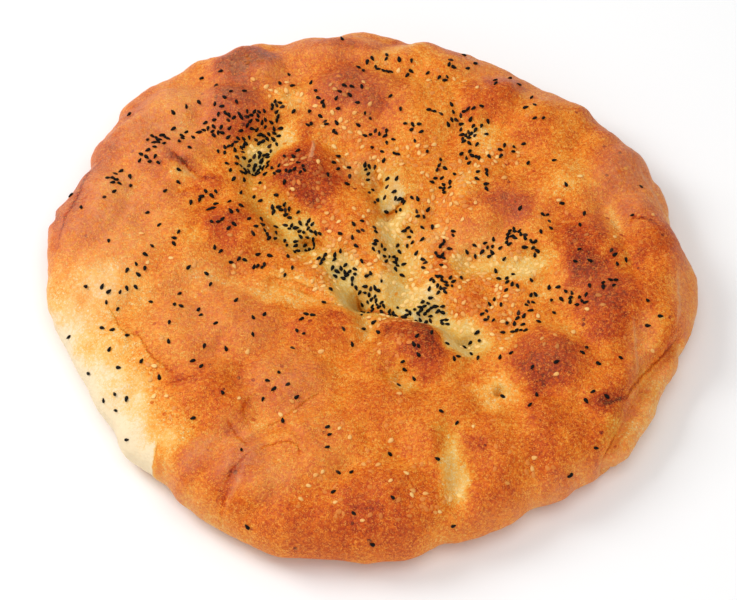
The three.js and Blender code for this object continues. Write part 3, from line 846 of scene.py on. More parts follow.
@dataclass(frozen=True)
class Baking:
    """How the oven coloured the crust, from 0 for raw dough to 1 for scorched.

    Turns are counted past the widest line of the side, in radians, less than 0 above it.

    Attributes:
        even: Colour of the crust between the pillows.
        even_weight: How strongly that holds against the pillows' own.
        pillow_weight: How strongly a pillow's own colour holds on its top.
        pillow_spread: How far that colour reaches past the pillow's edge.
        pillow_shape: How sharply it falls off.
        dent_pale: How much paler the bottom of a groove stays for each millimetre of its depth.
        dent_shape: How sharply that falls off to the groove's sides.
        tint_spread: How far tints and blooms reach past their own edge.
        tint_level: Over 1, a tint is even in its middle.
        crease_dark: How much darker a crease is for each millimetre of its depth.
        palest: Colour of the palest dough on the top, and of the pale side.
        soft_palest: How softly the pale side nears its palest.
        flank_pale: How much paler the pale side is.
        flank_full: How far into its ovals it is fully so.
        mottle: Noises of the colour, each a seed, a wavelength and a strength.
        wander: How far noise shifts the edges of the colours.
        wander_seeds: Start that noise along X and along Y.
        wander_grains: Its wavelengths, each shifting half as far as the one before.
        deepest: Depth of a dent whose bottom takes the full painted shade.
        pit_spread: How far a pit's painted shade reaches past its edge.
        under: Colour of the underside.
        under_turns: Turns between which that colour comes in.
        side_pale: How much paler the side is under its widest line.
        side_turns: Turns between which it grows paler.
        side_bloom_and_sheen: Strength of the pinkish colour on the widest line, partly dried egg wash and
            partly painted sheen of light glancing off the side.
        bloom_and_sheen_turns: Turns between which that colour comes in.
        bloom_and_sheen_bakes: Bakes between which it comes in, so that raw dough gets none.
        near_rim: Places along Y between which it comes in, so that the near rim gets none.
        fold_turns: Turns between which the folds fade out.
    """

    even: float = 0.46
    even_weight: float = 0.35
    pillow_weight: float = 2.5
    pillow_spread: float = 1.22
    pillow_shape: float = 2.2
    dent_pale: float = 0.045
    dent_shape: float = 1.5
    tint_spread: float = 1.2
    tint_level: float = 1.2
    crease_dark: float = 0.06
    palest: Span = (0.08, -0.06)
    soft_palest: float = 0.06
    flank_pale: float = 0.35
    flank_full: float = 0.9
    mottle: Layers = ((27, 14.0, 0.04), (28, 5.0, 0.04))
    wander: float = 4.0
    wander_seeds: tuple[int, int] = (21, 24)
    wander_grains: tuple[float, ...] = (17.0, 7.0, 3.0)
    deepest: float = 5.0
    pit_spread: float = 1.4
    under: float = 0.34
    under_turns: Span = (0.25, 1.3)
    side_pale: float = 0.18
    side_turns: Span = (-0.7, 0.2)
    side_bloom_and_sheen: float = 0.9
    bloom_and_sheen_turns: Span = (-0.8, 0.0)
    bloom_and_sheen_bakes: Span = (0.05, 0.3)
    near_rim: Span = (-152.0, -100.0)
    fold_turns: Span = (-0.2, 0.7)

    def wandered(self, x: Array, y: Array) -> tuple[Array, Array]:
        """Shifts places by noise, which makes the edges of the colours ragged.

        Args:
            x: Places along X.
            y: Places along Y.

        Returns:
            The shifted places along X and along Y.
        """
        shifts = []
        for seed in self.wander_seeds:
            steps = enumerate(self.wander_grains)
            layers = tuple((seed + step, grain, self.wander / 2**step) for step, grain in steps)
            shifts.append(layered_noise(layers, x, y))
        return x + shifts[0], y + shifts[1]

    def top(self, x: Array, y: Array) -> Array:
        """Works out the bake of the top.

        Args:
            x: Places along X.
            y: Places along Y.

        Returns:
            The bake at each place.
        """
        near_x, near_y = self.wandered(x, y)
        total = np.full_like(x, self.even * self.even_weight)
        weights = np.full_like(x, self.even_weight)
        for pillow in PILLOWS:
            inside = pillow.inside(near_x, near_y, self.pillow_spread)
            weight = self.pillow_weight * inside**self.pillow_shape
            total += weight * pillow.bake
            weights += weight
        bake = total / weights
        for groove in GROOVES:
            bake -= self.dent_pale * groove.depth * groove.inside(near_x, near_y) ** self.dent_shape
        for tint in TINTS:
            inside = tint.inside(near_x, near_y, self.tint_spread)
            bake += tint.amount * np.clip(inside * self.tint_level, 0.0, 1.0)
        for crease in CREASES:
            bake += self.crease_dark * crease.depth * crease.inside(x, y)
        return self.paled(bake, near_x, near_y) + layered_noise(self.mottle, x, y)

    def paled(self, bake: Array, x: Array, y: Array) -> Array:
        """Pales the side that the oven's heat hardly reached.

        Args:
            bake: The bake of the top without it.
            x: Places along X.
            y: Places along Y.

        Returns:
            The bake, nowhere under its palest.
        """
        top_palest, flank_palest = self.palest
        flank = np.maximum.reduce([oval.inside(x, y) for oval in PALE_FLANK])
        paler = np.maximum(bake, top_palest) - self.flank_pale * smoothstep(flank, 0.0, self.flank_full)
        over = paler - flank_palest
        return flank_palest + (over + np.hypot(over, self.soft_palest)) / 2

    def folds(self, x: Array, y: Array) -> dict[Field, Array]:
        """Measures places against the fold that holds most strongly there.

        Args:
            x: Places along X.
            y: Places along Y.

        Returns:
            For each place the distance across the fold, and what the fold does there.
        """
        across, best, dark, lift, shade = (np.zeros_like(x) for _ in range(5))
        for fold in FOLDS:
            distance, hold = fold.measure(x, y)
            closer = hold > best
            best = np.where(closer, hold, best)
            across = np.where(closer, distance, across)
            dark = np.where(closer, hold * fold.dark, dark)
            lift = np.where(closer, hold * fold.lift, lift)
            shade = np.where(closer, hold * fold.shade, shade)
        return {Field.ACROSS: across, Field.LINE: dark, Field.LIFT: lift, Field.SHADE: shade}

    def dent(self, x: Array, y: Array) -> Array:
        """Finds how deep places lie in the dents, where painted shade darkens the dough and turns it a
        little green.

        Args:
            x: Places along X.
            y: Places along Y.

        Returns:
            How far each place lies in a dent, from 0 to 1.
        """
        near_x, near_y = self.wandered(x, y)
        depth = np.zeros_like(x)
        for groove in GROOVES:
            depth = np.maximum(depth, groove.inside(near_x, near_y) * groove.depth)
        for pit in PITS:
            depth = np.maximum(depth, pit.inside(near_x, near_y, self.pit_spread) * pit.depth)
        return np.clip(depth / self.deepest, 0.0, 1.0)

    def bloom_and_sheen(self, x: Array, y: Array) -> Array:
        """Finds where the egg wash dried pinkish and where pinkish sheen is painted.

        Args:
            x: Places along X.
            y: Places along Y.

        Returns:
            The strength of that pinkish colour at each place.
        """
        strength = np.zeros_like(x)
        for bloom_and_sheen in BLOOMS_AND_SHEEN:
            strength = np.maximum(strength, bloom_and_sheen.amount * bloom_and_sheen.inside(x, y, self.tint_spread))
        return strength


@dataclass(frozen=True)
class Spots:
    """Where the points of the crust's net lie on the loaf, each an array of one number a point.

    Attributes:
        angle: Direction from the middle, in radians.
        share: Share of the radius of the top or of the underside.
        row: 0 on the top, and counted up down the side and in along the underside.
        sweep: Place on the rounded edge, as Loaf.edge_point takes it.
    """

    angle: Array
    share: Array
    row: Array
    sweep: Array


@dataclass(frozen=True)
class Crust:
    """The bread's whole skin as one closed mesh.

    Attributes:
        loaf: The loaf's form.
        baking: Its colours.
        cells: Cells across the top.
        side_rows: Rows of faces round the side.
        side_start: How far in from the widest line the side rows begin.
        under_rings: Sizes of the underside's rings, each a share of the one before.
        blisters: Noises of the underside, each a seed, a wavelength and a height.
        flat_edge: Share of the underside's radius over which the blisters fade at its edge.
    """

    loaf: Loaf
    baking: Baking
    cells: int = 240
    side_rows: int = 30
    side_start: float = 9.0
    under_rings: tuple[float, ...] = (0.985, 0.97, 0.95, 0.9, 0.8, 0.6, 0.4)
    blisters: Layers = ((31, 16.0, 0.5), (32, 6.0, 0.25))
    flat_edge: float = 0.06

    def topology(self) -> bmesh.types.BMesh:
        """Makes the net of faces: a grid, its edge drawn down in rows and closed below.

        Returns:
            A mesh whose X and Y lie on a square with corners at 1 and -1, and whose -Z counts rows.
        """
        net = bmesh.new()
        bmesh.ops.create_grid(net, x_segments=self.cells, y_segments=self.cells, size=1.0)
        edge = [line for line in net.edges if line.is_boundary]
        for ring in (1.0,) * self.side_rows + self.under_rings:
            drawn = bmesh.ops.extrude_edge_only(net, edges=edge)["geom"]
            corners = [item for item in drawn if isinstance(item, bmesh.types.BMVert)]
            bmesh.ops.translate(net, verts=corners, vec=(0.0, 0.0, -1.0))
            bmesh.ops.scale(net, verts=corners, vec=(ring, ring, 1.0))
            edge = [item for item in drawn if isinstance(item, bmesh.types.BMEdge) and item.is_boundary]
        last = bmesh.ops.extrude_edge_only(net, edges=edge)["geom"]
        corners = [item for item in last if isinstance(item, bmesh.types.BMVert)]
        floor = -float(self.side_rows + len(self.under_rings) + 1)
        bmesh.ops.pointmerge(net, verts=corners, merge_co=(0.0, 0.0, floor))
        bmesh.ops.recalc_face_normals(net, faces=net.faces)
        return net

    def directions(self, square: Array) -> tuple[Array, Array]:
        """Carries places on the square onto a disc.

        Args:
            square: Rows of X and Y, and whatever follows.

        Returns:
            The direction of each place, and its share of the disc's radius.
        """
        u, v = square[:, 0], square[:, 1]
        steep = np.abs(v) > np.abs(u)
        signed = np.where(steep, v, u)
        other = np.where(steep, u, v)
        ratio = np.divide(other, signed, out=np.zeros_like(u), where=signed != 0)
        angle = np.where(steep, QUARTER_TURN - ratio * math.pi / 4, ratio * math.pi / 4)
        return np.where(signed < 0, angle + math.pi, angle), np.abs(signed)

    def spots(self, square: Array) -> Spots:
        """Finds where the net's points belong on the loaf.

        Args:
            square: The net's points, as topology leaves them.

        Returns:
            Their places on the loaf.
        """
        angle, share = self.directions(square)
        row = np.round(-square[:, 2])
        level = 1.0 - self.side_start / self.loaf.shoulder
        start = math.acos(level ** (1.0 / self.loaf.shoulder_shape))
        sweep = lerp(start, -QUARTER_TURN, np.clip(row / self.side_rows, 0.0, 1.0))
        return Spots(angle, share, row, sweep)

    def points(self, spots: Spots) -> Array:
        """Works out the skin's points.

        Args:
            spots: Their places on the loaf.

        Returns:
            One row of X, Y and Z for each.
        """
        radius = self.loaf.rim_radius(spots.angle)
        top = self.loaf.top_point(spots.angle, spots.share * (radius - self.side_start))
        side = self.loaf.edge_point(spots.angle, spots.sweep)
        below = spots.share * (radius - self.loaf.undercurve)
        x, y = below * np.cos(spots.angle), below * np.sin(spots.angle)
        blisters = np.clip(layered_noise(self.blisters, x, y), 0.0, None)
        lift = blisters * smoothstep(1.0 - spots.share, 0.0, self.flat_edge)
        points = np.where((spots.row == 0)[:, None], top, side)
        return np.where((spots.row > self.side_rows)[:, None], np.stack([x, y, lift], axis=-1), points)

    def flat_places(self, spots: Spots) -> tuple[Array, Array]:
        """Finds where in the plan each point takes its colour from, side rows carried outwards.

        Args:
            spots: The points' places on the loaf.

        Returns:
            Places along X and along Y.
        """
        radius = self.loaf.rim_radius(spots.angle)
        cosine = np.cos(np.clip(spots.sweep, 0.0, None))
        inset = self.loaf.shoulder * (1.0 - cosine**self.loaf.shoulder_shape)
        reach = np.where(spots.row == 0, spots.share * (radius - self.side_start), radius - inset)
        return reach * np.cos(spots.angle), reach * np.sin(spots.angle)

    def colour(self, mesh: bpy.types.Mesh, spots: Spots) -> None:
        """Writes the numbers that the finish reads.

        Args:
            mesh: The crust's mesh.
            spots: Its points' places on the loaf.
        """
        baking = self.baking
        x, y = self.flat_places(spots)
        beside, turned = spots.row > 0, -spots.sweep
        under = smoothstep(turned, *baking.under_turns) * beside
        bake = baking.top(x, y) - baking.side_pale * smoothstep(turned, *baking.side_turns) * beside
        # Pinkish colour on the widest line: partly dried egg wash, partly painted sheen of light glancing
        # off the side.
        rim = baking.side_bloom_and_sheen * smoothstep(turned, *baking.bloom_and_sheen_turns) * beside
        rim *= smoothstep(bake, *baking.bloom_and_sheen_bakes) * smoothstep(y, *baking.near_rim)
        fade = 1.0 - smoothstep(turned, *baking.fold_turns) * beside
        write_field(mesh, Field.BAKE, lerp(bake, baking.under, under))
        write_field(mesh, Field.BLOOM_AND_SHEEN, np.maximum(baking.bloom_and_sheen(x, y), rim) * (1.0 - under))
        # How deep each point lies in a dent, for the painted shade there.
        write_field(mesh, Field.DENT_SHADE, baking.dent(x, y) * (spots.row == 0))
        for name, values in baking.folds(x, y).items():
            write_field(mesh, name, values if name is Field.ACROSS else values * fade)
        write_field(mesh, Field.UNDER, under)

    def build(self, finish: bpy.types.Material) -> bpy.types.Object:
        """Makes the crust.

        Args:
            finish: Its material.

        Returns:
            The crust's object.
        """
        net = self.topology()
        mesh = bpy.data.meshes.new("crust")
        net.to_mesh(mesh)
        net.free()
        spots = self.spots(read_points(mesh))
        self.colour(mesh, spots)
        moved = (self.points(spots) + np.array(self.loaf.offset)) * MM
        mesh.vertices.foreach_set("co", moved.ravel())
        mesh.update()
        return make_object("crust", mesh, finish)


# --- Seeds ---


@dataclass(frozen=True)
class SeedKind:
    """A kind of seed.

    Attributes:
        name: The name of its piece.
        slot: Name of its material slot, not used.
        length: Length from tip to butt.
        width: Greatest width.
        height: Thickness.
        taper: How far the tip narrows, from 0 to 1.
        ridges: How angular its section is.
        lift: Height of its middle over the crust, as a share of its thickness.
        lean: Standard deviation of its lean against the crust, in degrees.
        gap: Least distance between two middles.
        sunk_share: Share of the seeds that the dough holds deep.
        drifts: Where they lie together.
        lone: Where one lies by itself.
        strays: How many lie anywhere else.
        seed: Starts the random draws of its places.
        shape_seed: Starts those of its shapes.
        taper_shape: How near the tip the narrowing starts.
        sides: How many ridges run along it.
        tip: How far the tip is drawn out, as a share of half the length.
        bend: How far the tip may bend, as a share of the width.
        wobble: How far its points may stand in or out, as a share of the section.
    """

    name: str
    slot: str
    length: float
    width: float
    height: float
    taper: float
    ridges: float
    lift: float
    lean: float
    gap: float
    sunk_share: float
    drifts: tuple[Drift, ...]
    lone: Points
    strays: int
    seed: int
    shape_seed: int = 100
    taper_shape: float = 1.6
    sides: int = 3
    tip: float = 0.10
    bend: float = 0.12
    wobble: float = 0.05

    def shape(self, variant: int) -> tuple[Array, Array]:
        """Shapes one seed, lying along X with its tip at +X.

        Args:
            variant: Which of a few shapes to make.

        Returns:
            The points of a closed mesh of 80 faces, and the corners of each face.
        """
        seed = bmesh.new()
        bmesh.ops.create_icosphere(seed, subdivisions=2, radius=1.0)
        draw = np.random.default_rng(self.shape_seed + variant)
        bend = draw.uniform(-self.bend, self.bend)
        turn = draw.uniform(0.0, 2 * math.pi)
        for corner in seed.verts:
            along = (corner.co.x + 1.0) / 2.0
            section = math.atan2(corner.co.z, corner.co.y)
            ridge = 1.0 + self.ridges * math.cos(self.sides * section + turn)
            ridge *= 1.0 + draw.uniform(-self.wobble, self.wobble)
            size = (1.0 - self.taper * along**self.taper_shape) * ridge / 2
            corner.co.x = (corner.co.x + self.tip * along**3) * self.length / (2.0 + self.tip)
            corner.co.y = corner.co.y * size * self.width + bend * self.width * along**2
            corner.co.z *= size * self.height
        points = np.array([corner.co[:] for corner in seed.verts])
        faces = np.array([[corner.index for corner in face.verts] for face in seed.faces])
        seed.free()
        return points, faces


NIGELLA = SeedKind(
    name="nigella_seeds",
    slot="nigella",
    length=2.85,
    width=1.85,
    height=1.4,
    taper=0.50,
    ridges=0.10,
    lift=0.24,
    lean=12.0,
    gap=1.7,
    sunk_share=0.08,
    drifts=NIGELLA_DRIFTS,
    lone=LONE_NIGELLA,
    strays=6,
    seed=2026,
)
SESAME = SeedKind(
    name="sesame_seeds",
    slot="sesame",
    length=3.1,
    width=2.3,
    height=0.9,
    taper=0.45,
    ridges=0.02,
    lift=0.06,
    lean=6.0,
    gap=2.0,
    sunk_share=0.60,
    drifts=SESAME_DRIFTS,
    lone=(),
    strays=40,
    seed=2027,
)


@dataclass
class Strewing:
    """All the seeds on the crust, one joined mesh for each kind.

    Attributes:
        loaf: The loaf they lie on.
        baking: The bake of the crust under them.
        crowding: Below 1 the seeds crowd less towards a drift's middle.
        spread: How far past its own edge a drift peters out.
        widening: How much further a seed may fall with each try.
        tries: How often a seed is dropped before it is left out of a full drift.
        strays_over: The oval that strays fall in: its middle, half length, half width and turn.
        rim_gap: How far in from the widest line a dropped seed stays.
        lone_gap: The same for a lone seed, which is drawn in where it has to be.
        variants: How many shapes each kind has.
        size_spread: Standard deviation of the seeds' size.
        sunk_depth: How much deeper a sunk seed lies, as a share of its thickness.
        glaze_line: Heights over the crust between which a seed's glaze thins out, as such shares.
        rim_glaze: How strong the glaze is at the crust.
        sunk_glaze: Least and most glaze all over a sunk seed.
        bare_glaze: The same for any other.
        taken: Where seeds already lie.
    """

    loaf: Loaf
    baking: Baking
    crowding: float = 0.55
    spread: float = 1.3
    widening: float = 0.05
    tries: int = 12
    strays_over: tuple[float, ...] = (6.0, 0.0, 128.0, 122.0, 0.0)
    rim_gap: float = 6.0
    lone_gap: float = 2.0
    variants: int = 5
    size_spread: float = 0.08
    sunk_depth: float = 0.25
    glaze_line: Span = (0.10, 0.42)
    rim_glaze: float = 0.7
    sunk_glaze: Span = (0.3, 0.7)
    bare_glaze: Span = (0.0, 0.2)
    taken: list[tuple[float, float]] = field(default_factory=list)

    def drop(self, drift: Drift, attempt: int, draw: np.random.Generator) -> tuple[float, float]:
        """Lets a seed of a drift fall.

        Args:
            drift: The drift.
            attempt: How often the seed has fallen where it can't lie.
            draw: The random draws.

        Returns:
            Its place along X and Y.
        """
        bearing = draw.uniform(0.0, 2 * math.pi)
        spread = draw.uniform() ** self.crowding * (self.spread + self.widening * attempt)
        along = drift.length * spread * math.cos(bearing)
        across = drift.width * spread * math.sin(bearing)
        turn = math.radians(drift.turn)
        x = drift.x + along * math.cos(turn) - across * math.sin(turn)
        y = drift.y + along * math.sin(turn) + across * math.cos(turn)
        return x, y

    def is_clear(self, x: float, y: float, gap: float) -> bool:
        """Tells whether a place is on the top and at least a gap from every other seed."""
        reach = float(self.loaf.rim_radius(np.array(math.atan2(y, x)))) - self.rim_gap
        return math.hypot(x, y) < reach and all(math.hypot(x - a, y - b) > gap for a, b in self.taken)

    def lay(self, kind: SeedKind, draw: np.random.Generator) -> Array:
        """Finds a clear place for each seed of a kind.

        Args:
            kind: The kind of seed.
            draw: The random draws.

        Returns:
            One row of X and Y for each seed.
        """
        places = list(kind.lone)
        self.taken.extend(kind.lone)
        for drift in kind.drifts + (Drift(*self.strays_over, kind.strays),):
            for _ in range(drift.count):
                for attempt in range(self.tries):
                    place = self.drop(drift, attempt, draw)
                    if self.is_clear(*place, kind.gap):
                        places.append(place)
                        self.taken.append(place)
                        break
        places = np.array(places)
        reach = self.loaf.rim_radius(np.arctan2(places[:, 1], places[:, 0])) - self.lone_gap
        return places * np.minimum(1.0, reach / np.hypot(places[:, 0], places[:, 1]))[:, None]

    def build(self, kind: SeedKind, finish: bpy.types.Material) -> bpy.types.Object:
        """Makes every seed of a kind.

        Args:
            kind: The kind of seed.
            finish: Its material.

        Returns:
            The joined seeds' object.
        """
        draw = np.random.default_rng(kind.seed)
        places = self.lay(kind, draw)
        spots, normals = self.loaf.skin(places[:, 0], places[:, 1])
        bakes = self.baking.top(places[:, 0], places[:, 1])
        shapes = [kind.shape(variant) for variant in range(self.variants)]
        corners, faces, tones, glazes = [], [], [], []
        for spot, normal in zip(spots, normals):
            shape, shape_faces = shapes[draw.integers(self.variants)]
            size = draw.normal(1.0, self.size_spread)
            sunk = draw.uniform() < kind.sunk_share
            turn = self.lie(normal, draw.uniform(0, 2 * math.pi), math.radians(kind.lean) * draw.normal())
            lift = kind.height * (kind.lift - self.sunk_depth * sunk)
            faces.extend(shape_faces + len(corners) * len(shape))
            corners.append(shape * size @ turn.T + spot + normal * lift)
            tones.append(np.full(len(shape), draw.uniform()))
            rim = 1.0 - smoothstep((shape[:, 2] + lift) / kind.height, *self.glaze_line)
            own = draw.uniform(*(self.sunk_glaze if sunk else self.bare_glaze))
            glazes.append(rim * self.rim_glaze + own)
        mesh = bpy.data.meshes.new(kind.name)
        points = (np.concatenate(corners) + np.array(self.loaf.offset)) * MM
        mesh.from_pydata(points.tolist(), [], [face.tolist() for face in faces])
        write_field(mesh, Field.TONE, np.concatenate(tones))
        write_field(mesh, Field.GLAZE, np.concatenate(glazes))
        write_field(mesh, Field.BAKE, np.repeat(bakes, len(shapes[0][0])))
        LOG.info("%s: %d seeds", kind.name, len(places))
        return make_object(kind.name, mesh, finish)

    def lie(self, normal: Array, heading: float, lean: float) -> Array:
        """Turns a seed to lie on the crust.

        Args:
            normal: The crust's normal there.
            heading: Direction of the tip along the crust, in radians.
            lean: How far the tip points into it, in radians.

        Returns:
            The turn, as a matrix of three rows.
        """
        upright = Vector((0.0, 0.0, 1.0)).rotation_difference(Vector(normal)).to_matrix()
        turned = upright @ Matrix.Rotation(heading, 3, "Z") @ Matrix.Rotation(lean, 3, "Y")
        return np.array(turned)


# --- Finishes ---


def srgb(red: int, green: int, blue: int) -> Colour:
    """Turns a display colour of 0 to 255 into a linear one with full cover.

    Args:
        red: Its red part.
        green: Its green part.
        blue: Its blue part.

    Returns:
        The linear colour.
    """

    def linear(part: int) -> float:
        """Returns one part of the colour, linear."""
        share = part / 255
        return share / 12.92 if share <= 0.04045 else ((share + 0.055) / 1.055) ** 2.4

    return linear(red), linear(green), linear(blue), 1.0


class Blend(Enum):
    """Ways to lay one colour over another."""

    MIX = "MIX"
    MULTIPLY = "MULTIPLY"


class Signal:
    """A shader socket that Python's operators can work with."""

    def __init__(self, maker: "Maker", socket: bpy.types.NodeSocket) -> None:
        """Keeps the socket and the maker of its nodes."""
        self.maker = maker
        self.socket = socket

    def __add__(self, other: Any) -> "Signal":
        """Returns the sum."""
        return self.maker.maths("ADD", self, other)

    def __sub__(self, other: Any) -> "Signal":
        """Returns the difference."""
        return self.maker.maths("SUBTRACT", self, other)

    def __rsub__(self, other: Any) -> "Signal":
        """Returns a number less this signal."""
        return self.maker.maths("SUBTRACT", other, self)

    def __mul__(self, other: Any) -> "Signal":
        """Returns the product."""
        return self.maker.maths("MULTIPLY", self, other)

    def __abs__(self) -> "Signal":
        """Returns the size without the sign."""
        return self.maker.maths("ABSOLUTE", self, 0.0)

    __radd__ = __add__
    __rmul__ = __mul__

    def between(self, low: float, high: float) -> "Signal":
        """Returns 0 at and under low, 1 at and over high, and a smooth rise between."""
        inputs = {"Value": self, "From Min": low, "From Max": high}
        return self.maker.signal("ShaderNodeMapRange", "Result", inputs, interpolation_type="SMOOTHSTEP")


class Maker:
    """Makes one material's nodes."""

    def __init__(self, name: str) -> None:
        """Starts a material with a surface shader.

        Args:
            name: The material's name.
        """
        self.material = bpy.data.materials.new(name)
        self.material.use_nodes = True
        self.tree = self.material.node_tree
        self.tree.nodes.clear()
        self.surface = self.node("ShaderNodeBsdfPrincipled")
        output = self.node("ShaderNodeOutputMaterial")
        self.tree.links.new(self.surface.outputs["BSDF"], output.inputs["Surface"])

    def node(self, kind: str, inputs: dict | None = None, **settings: Any) -> bpy.types.Node:
        """Makes a node.

        Args:
            kind: The node's type.
            inputs: Values or signals for its sockets, by name or number.
            **settings: Its own settings, and a ramp's stops as pairs of place and colour.

        Returns:
            The new node.
        """
        made = self.tree.nodes.new(kind)
        for name, setting in settings.items():
            if name == "stops":
                self.set_stops(made.color_ramp, setting)
            else:
                setattr(made, name, setting)
        for name, value in (inputs or {}).items():
            self.feed(made.inputs[name], value)
        return made

    def set_stops(self, ramp: bpy.types.ColorRamp, stops: tuple) -> None:
        """Gives a colour ramp its stops.

        Args:
            ramp: The ramp.
            stops: Pairs of place and colour.
        """
        while len(ramp.elements) < len(stops):
            ramp.elements.new(1.0)
        for element, (place, colour) in zip(ramp.elements, stops):
            element.position = place
            element.color = colour

    def feed(self, socket: bpy.types.NodeSocket, value: Any) -> None:
        """Links a signal to a socket, or sets its value.

        Args:
            socket: The socket.
            value: The signal or value.
        """
        if isinstance(value, Signal):
            self.tree.links.new(value.socket, socket)
        else:
            socket.default_value = value

    def signal(self, kind: str, output: str | int, inputs: dict | None = None, **settings: Any) -> Signal:
        """Makes a node and returns one of its outputs, given by name or number."""
        return Signal(self, self.node(kind, inputs, **settings).outputs[output])

    def maths(self, operation: str, first: Any, second: Any) -> Signal:
        """Returns two numbers worked out together."""
        return self.signal("ShaderNodeMath", "Value", {0: first, 1: second}, operation=operation)

    def mix(self, share: Any, first: Any, second: Any, blend: Blend = Blend.MIX) -> Signal:
        """Returns a share of the second colour over the first."""
        inputs = {0: share, 6: first, 7: second}
        return self.signal("ShaderNodeMix", 2, inputs, data_type="RGBA", blend_type=blend.value)

    def ramp(self, place: Signal, stops: tuple) -> Signal:
        """Returns the colour of a ramp at a place."""
        return self.signal("ShaderNodeValToRGB", "Color", {"Fac": place}, stops=stops)

    def read(self, name: Field) -> Signal:
        """Returns a number that the mesh's points carry."""
        settings = {"attribute_type": "GEOMETRY", "attribute_name": name.value}
        return self.signal("ShaderNodeAttribute", "Fac", **settings)

    def places(self) -> Signal:
        """Returns places on the piece, in metres."""
        return self.signal("ShaderNodeTexCoord", "Object")

    def grid(self, grain: float, places: Signal | None = None) -> dict:
        """Returns the inputs that set a texture's places, and its grain in millimetres."""
        return {"Vector": places or self.places(), "Scale": 1 / (grain * MM)}

    def noise(self, grain: float, detail: float = 2.0, roughness: float = 0.5) -> Signal:
        """Returns noise from 0 to 1, its grain in millimetres."""
        inputs = self.grid(grain) | {"Detail": detail, "Roughness": roughness}
        return self.signal("ShaderNodeTexNoise", "Fac", inputs)

    def bent_places(self, grain: float, reach: float) -> Signal:
        """Pushes places about by noise.

        Args:
            grain: Grain of the noise, in millimetres.
            reach: How far it pushes, in millimetres.

        Returns:
            The pushed places.
        """
        noise = self.signal("ShaderNodeTexNoise", "Color", self.grid(grain) | {"Detail": 1.0})
        inputs = {"Vector": noise, "Scale": reach * MM}
        push = self.signal("ShaderNodeVectorMath", "Vector", inputs, operation="SCALE")
        return self.signal("ShaderNodeVectorMath", "Vector", {0: self.places(), 1: push}, operation="ADD")

    def cells(self, grain: float, bend: float) -> tuple[Signal, Signal]:
        """Scatters cells.

        Args:
            grain: Their size, in millimetres.
            bend: How far noise bends them, as a share of their size.

        Returns:
            The distance from a cell's middle, and a number from 0 to 1 that each cell has of its own.
        """
        bent = self.bent_places(grain, grain * bend)
        made = self.node("ShaderNodeTexVoronoi", self.grid(grain, bent))
        split = {"Color": Signal(self, made.outputs["Color"])}
        return Signal(self, made.outputs["Distance"]), self.signal("ShaderNodeSeparateColor", "Red", split)

    def threads(self, grain: float, width: float) -> Signal:
        """Returns thin curling lines along a noise's middle, 1 on a line and 0 off it."""
        return 1.0 - abs(self.noise(grain, detail=1.0) - 0.5).between(0.0, width)

    def bump(self, height: Signal) -> Signal:
        """Returns the normal of a relief whose height is in millimetres."""
        return self.signal("ShaderNodeBump", "Normal", {"Strength": 1.0, "Distance": MM, "Height": height})

    def finish(self, **inputs: Any) -> bpy.types.Material:
        """Feeds the surface shader.

        Args:
            **inputs: Values or signals for its sockets, by name with underlines for spaces.

        Returns:
            The material.
        """
        for name, value in inputs.items():
            self.feed(self.surface.inputs[name.replace("_", " ")], value)
        return self.material


class CrustPattern:
    """The signals that the crust's colour and relief share.

    Attributes:
        baked: How dark the crust is baked.
        soft: Broad mottling, from -0.5 to 0.5.
        fine: Fine mottling, from -0.5 to 0.5.
        crisp: How strongly small marks show, less on raw and on scorched crust.
        blister: Small raised blisters.
        cell: A number from 0 to 1 that each blister has of its own.
        bubble: Larger bubbles, on scorched crust only.
        wrinkle: Thin curling wrinkles.
        speck_and_highlight: Pale specks, which are wrinkles and a share of the blisters, partly lifted skin
            and partly painted highlight.
        chip: Scattered dark chips.
        line: How much darker a thin fold makes the crust.
        left: 0.5 on a fold's left side and -0.5 on its right.
    """

    def __init__(self, maker: Maker) -> None:
        """Makes the nodes of the pattern.

        Args:
            maker: Makes the crust's nodes.
        """
        self.baked = maker.read(Field.BAKE)
        self.soft = maker.noise(grain=7.0, detail=3.0) - 0.5
        self.fine = maker.noise(grain=1.6, detail=3.0, roughness=0.6) - 0.5
        raw, scorched = 1.0 - self.baked.between(0.0, 0.3), self.baked.between(0.45, 0.75)
        self.crisp = (1.0 - raw * 0.7) * (1.08 - scorched * 0.26)
        blister_far, self.cell = maker.cells(grain=1.0, bend=0.6)
        self.blister = 1.0 - blister_far.between(0.10, 0.50)
        bubble_far, _ = maker.cells(grain=2.1, bend=0.5)
        scorch = (self.baked + self.soft * 0.3).between(0.62, 0.85)
        self.bubble = (1.0 - bubble_far.between(0.15, 0.50)) * scorch
        wrinkled = maker.noise(grain=1.7, detail=1.0).between(0.44, 0.56)
        self.wrinkle = maker.threads(grain=1.2, width=0.08) * wrinkled
        self.speck_and_highlight = (self.wrinkle + self.blister * self.cell.between(0.6, 0.95)) * self.crisp
        chip_far, chip_cell = maker.cells(grain=6.5, bend=0.25)
        self.chip = (1.0 - chip_far.between(0.10, 0.19)) * chip_cell.between(0.70, 0.95)
        across = maker.read(Field.ACROSS) + (maker.noise(grain=2.6, detail=3.0) - 0.5) * 2.4
        self.line = (1.0 - abs(across).between(0.1, 1.3)) * maker.read(Field.LINE)
        self.left = across.between(-0.6, 0.6) - 0.5


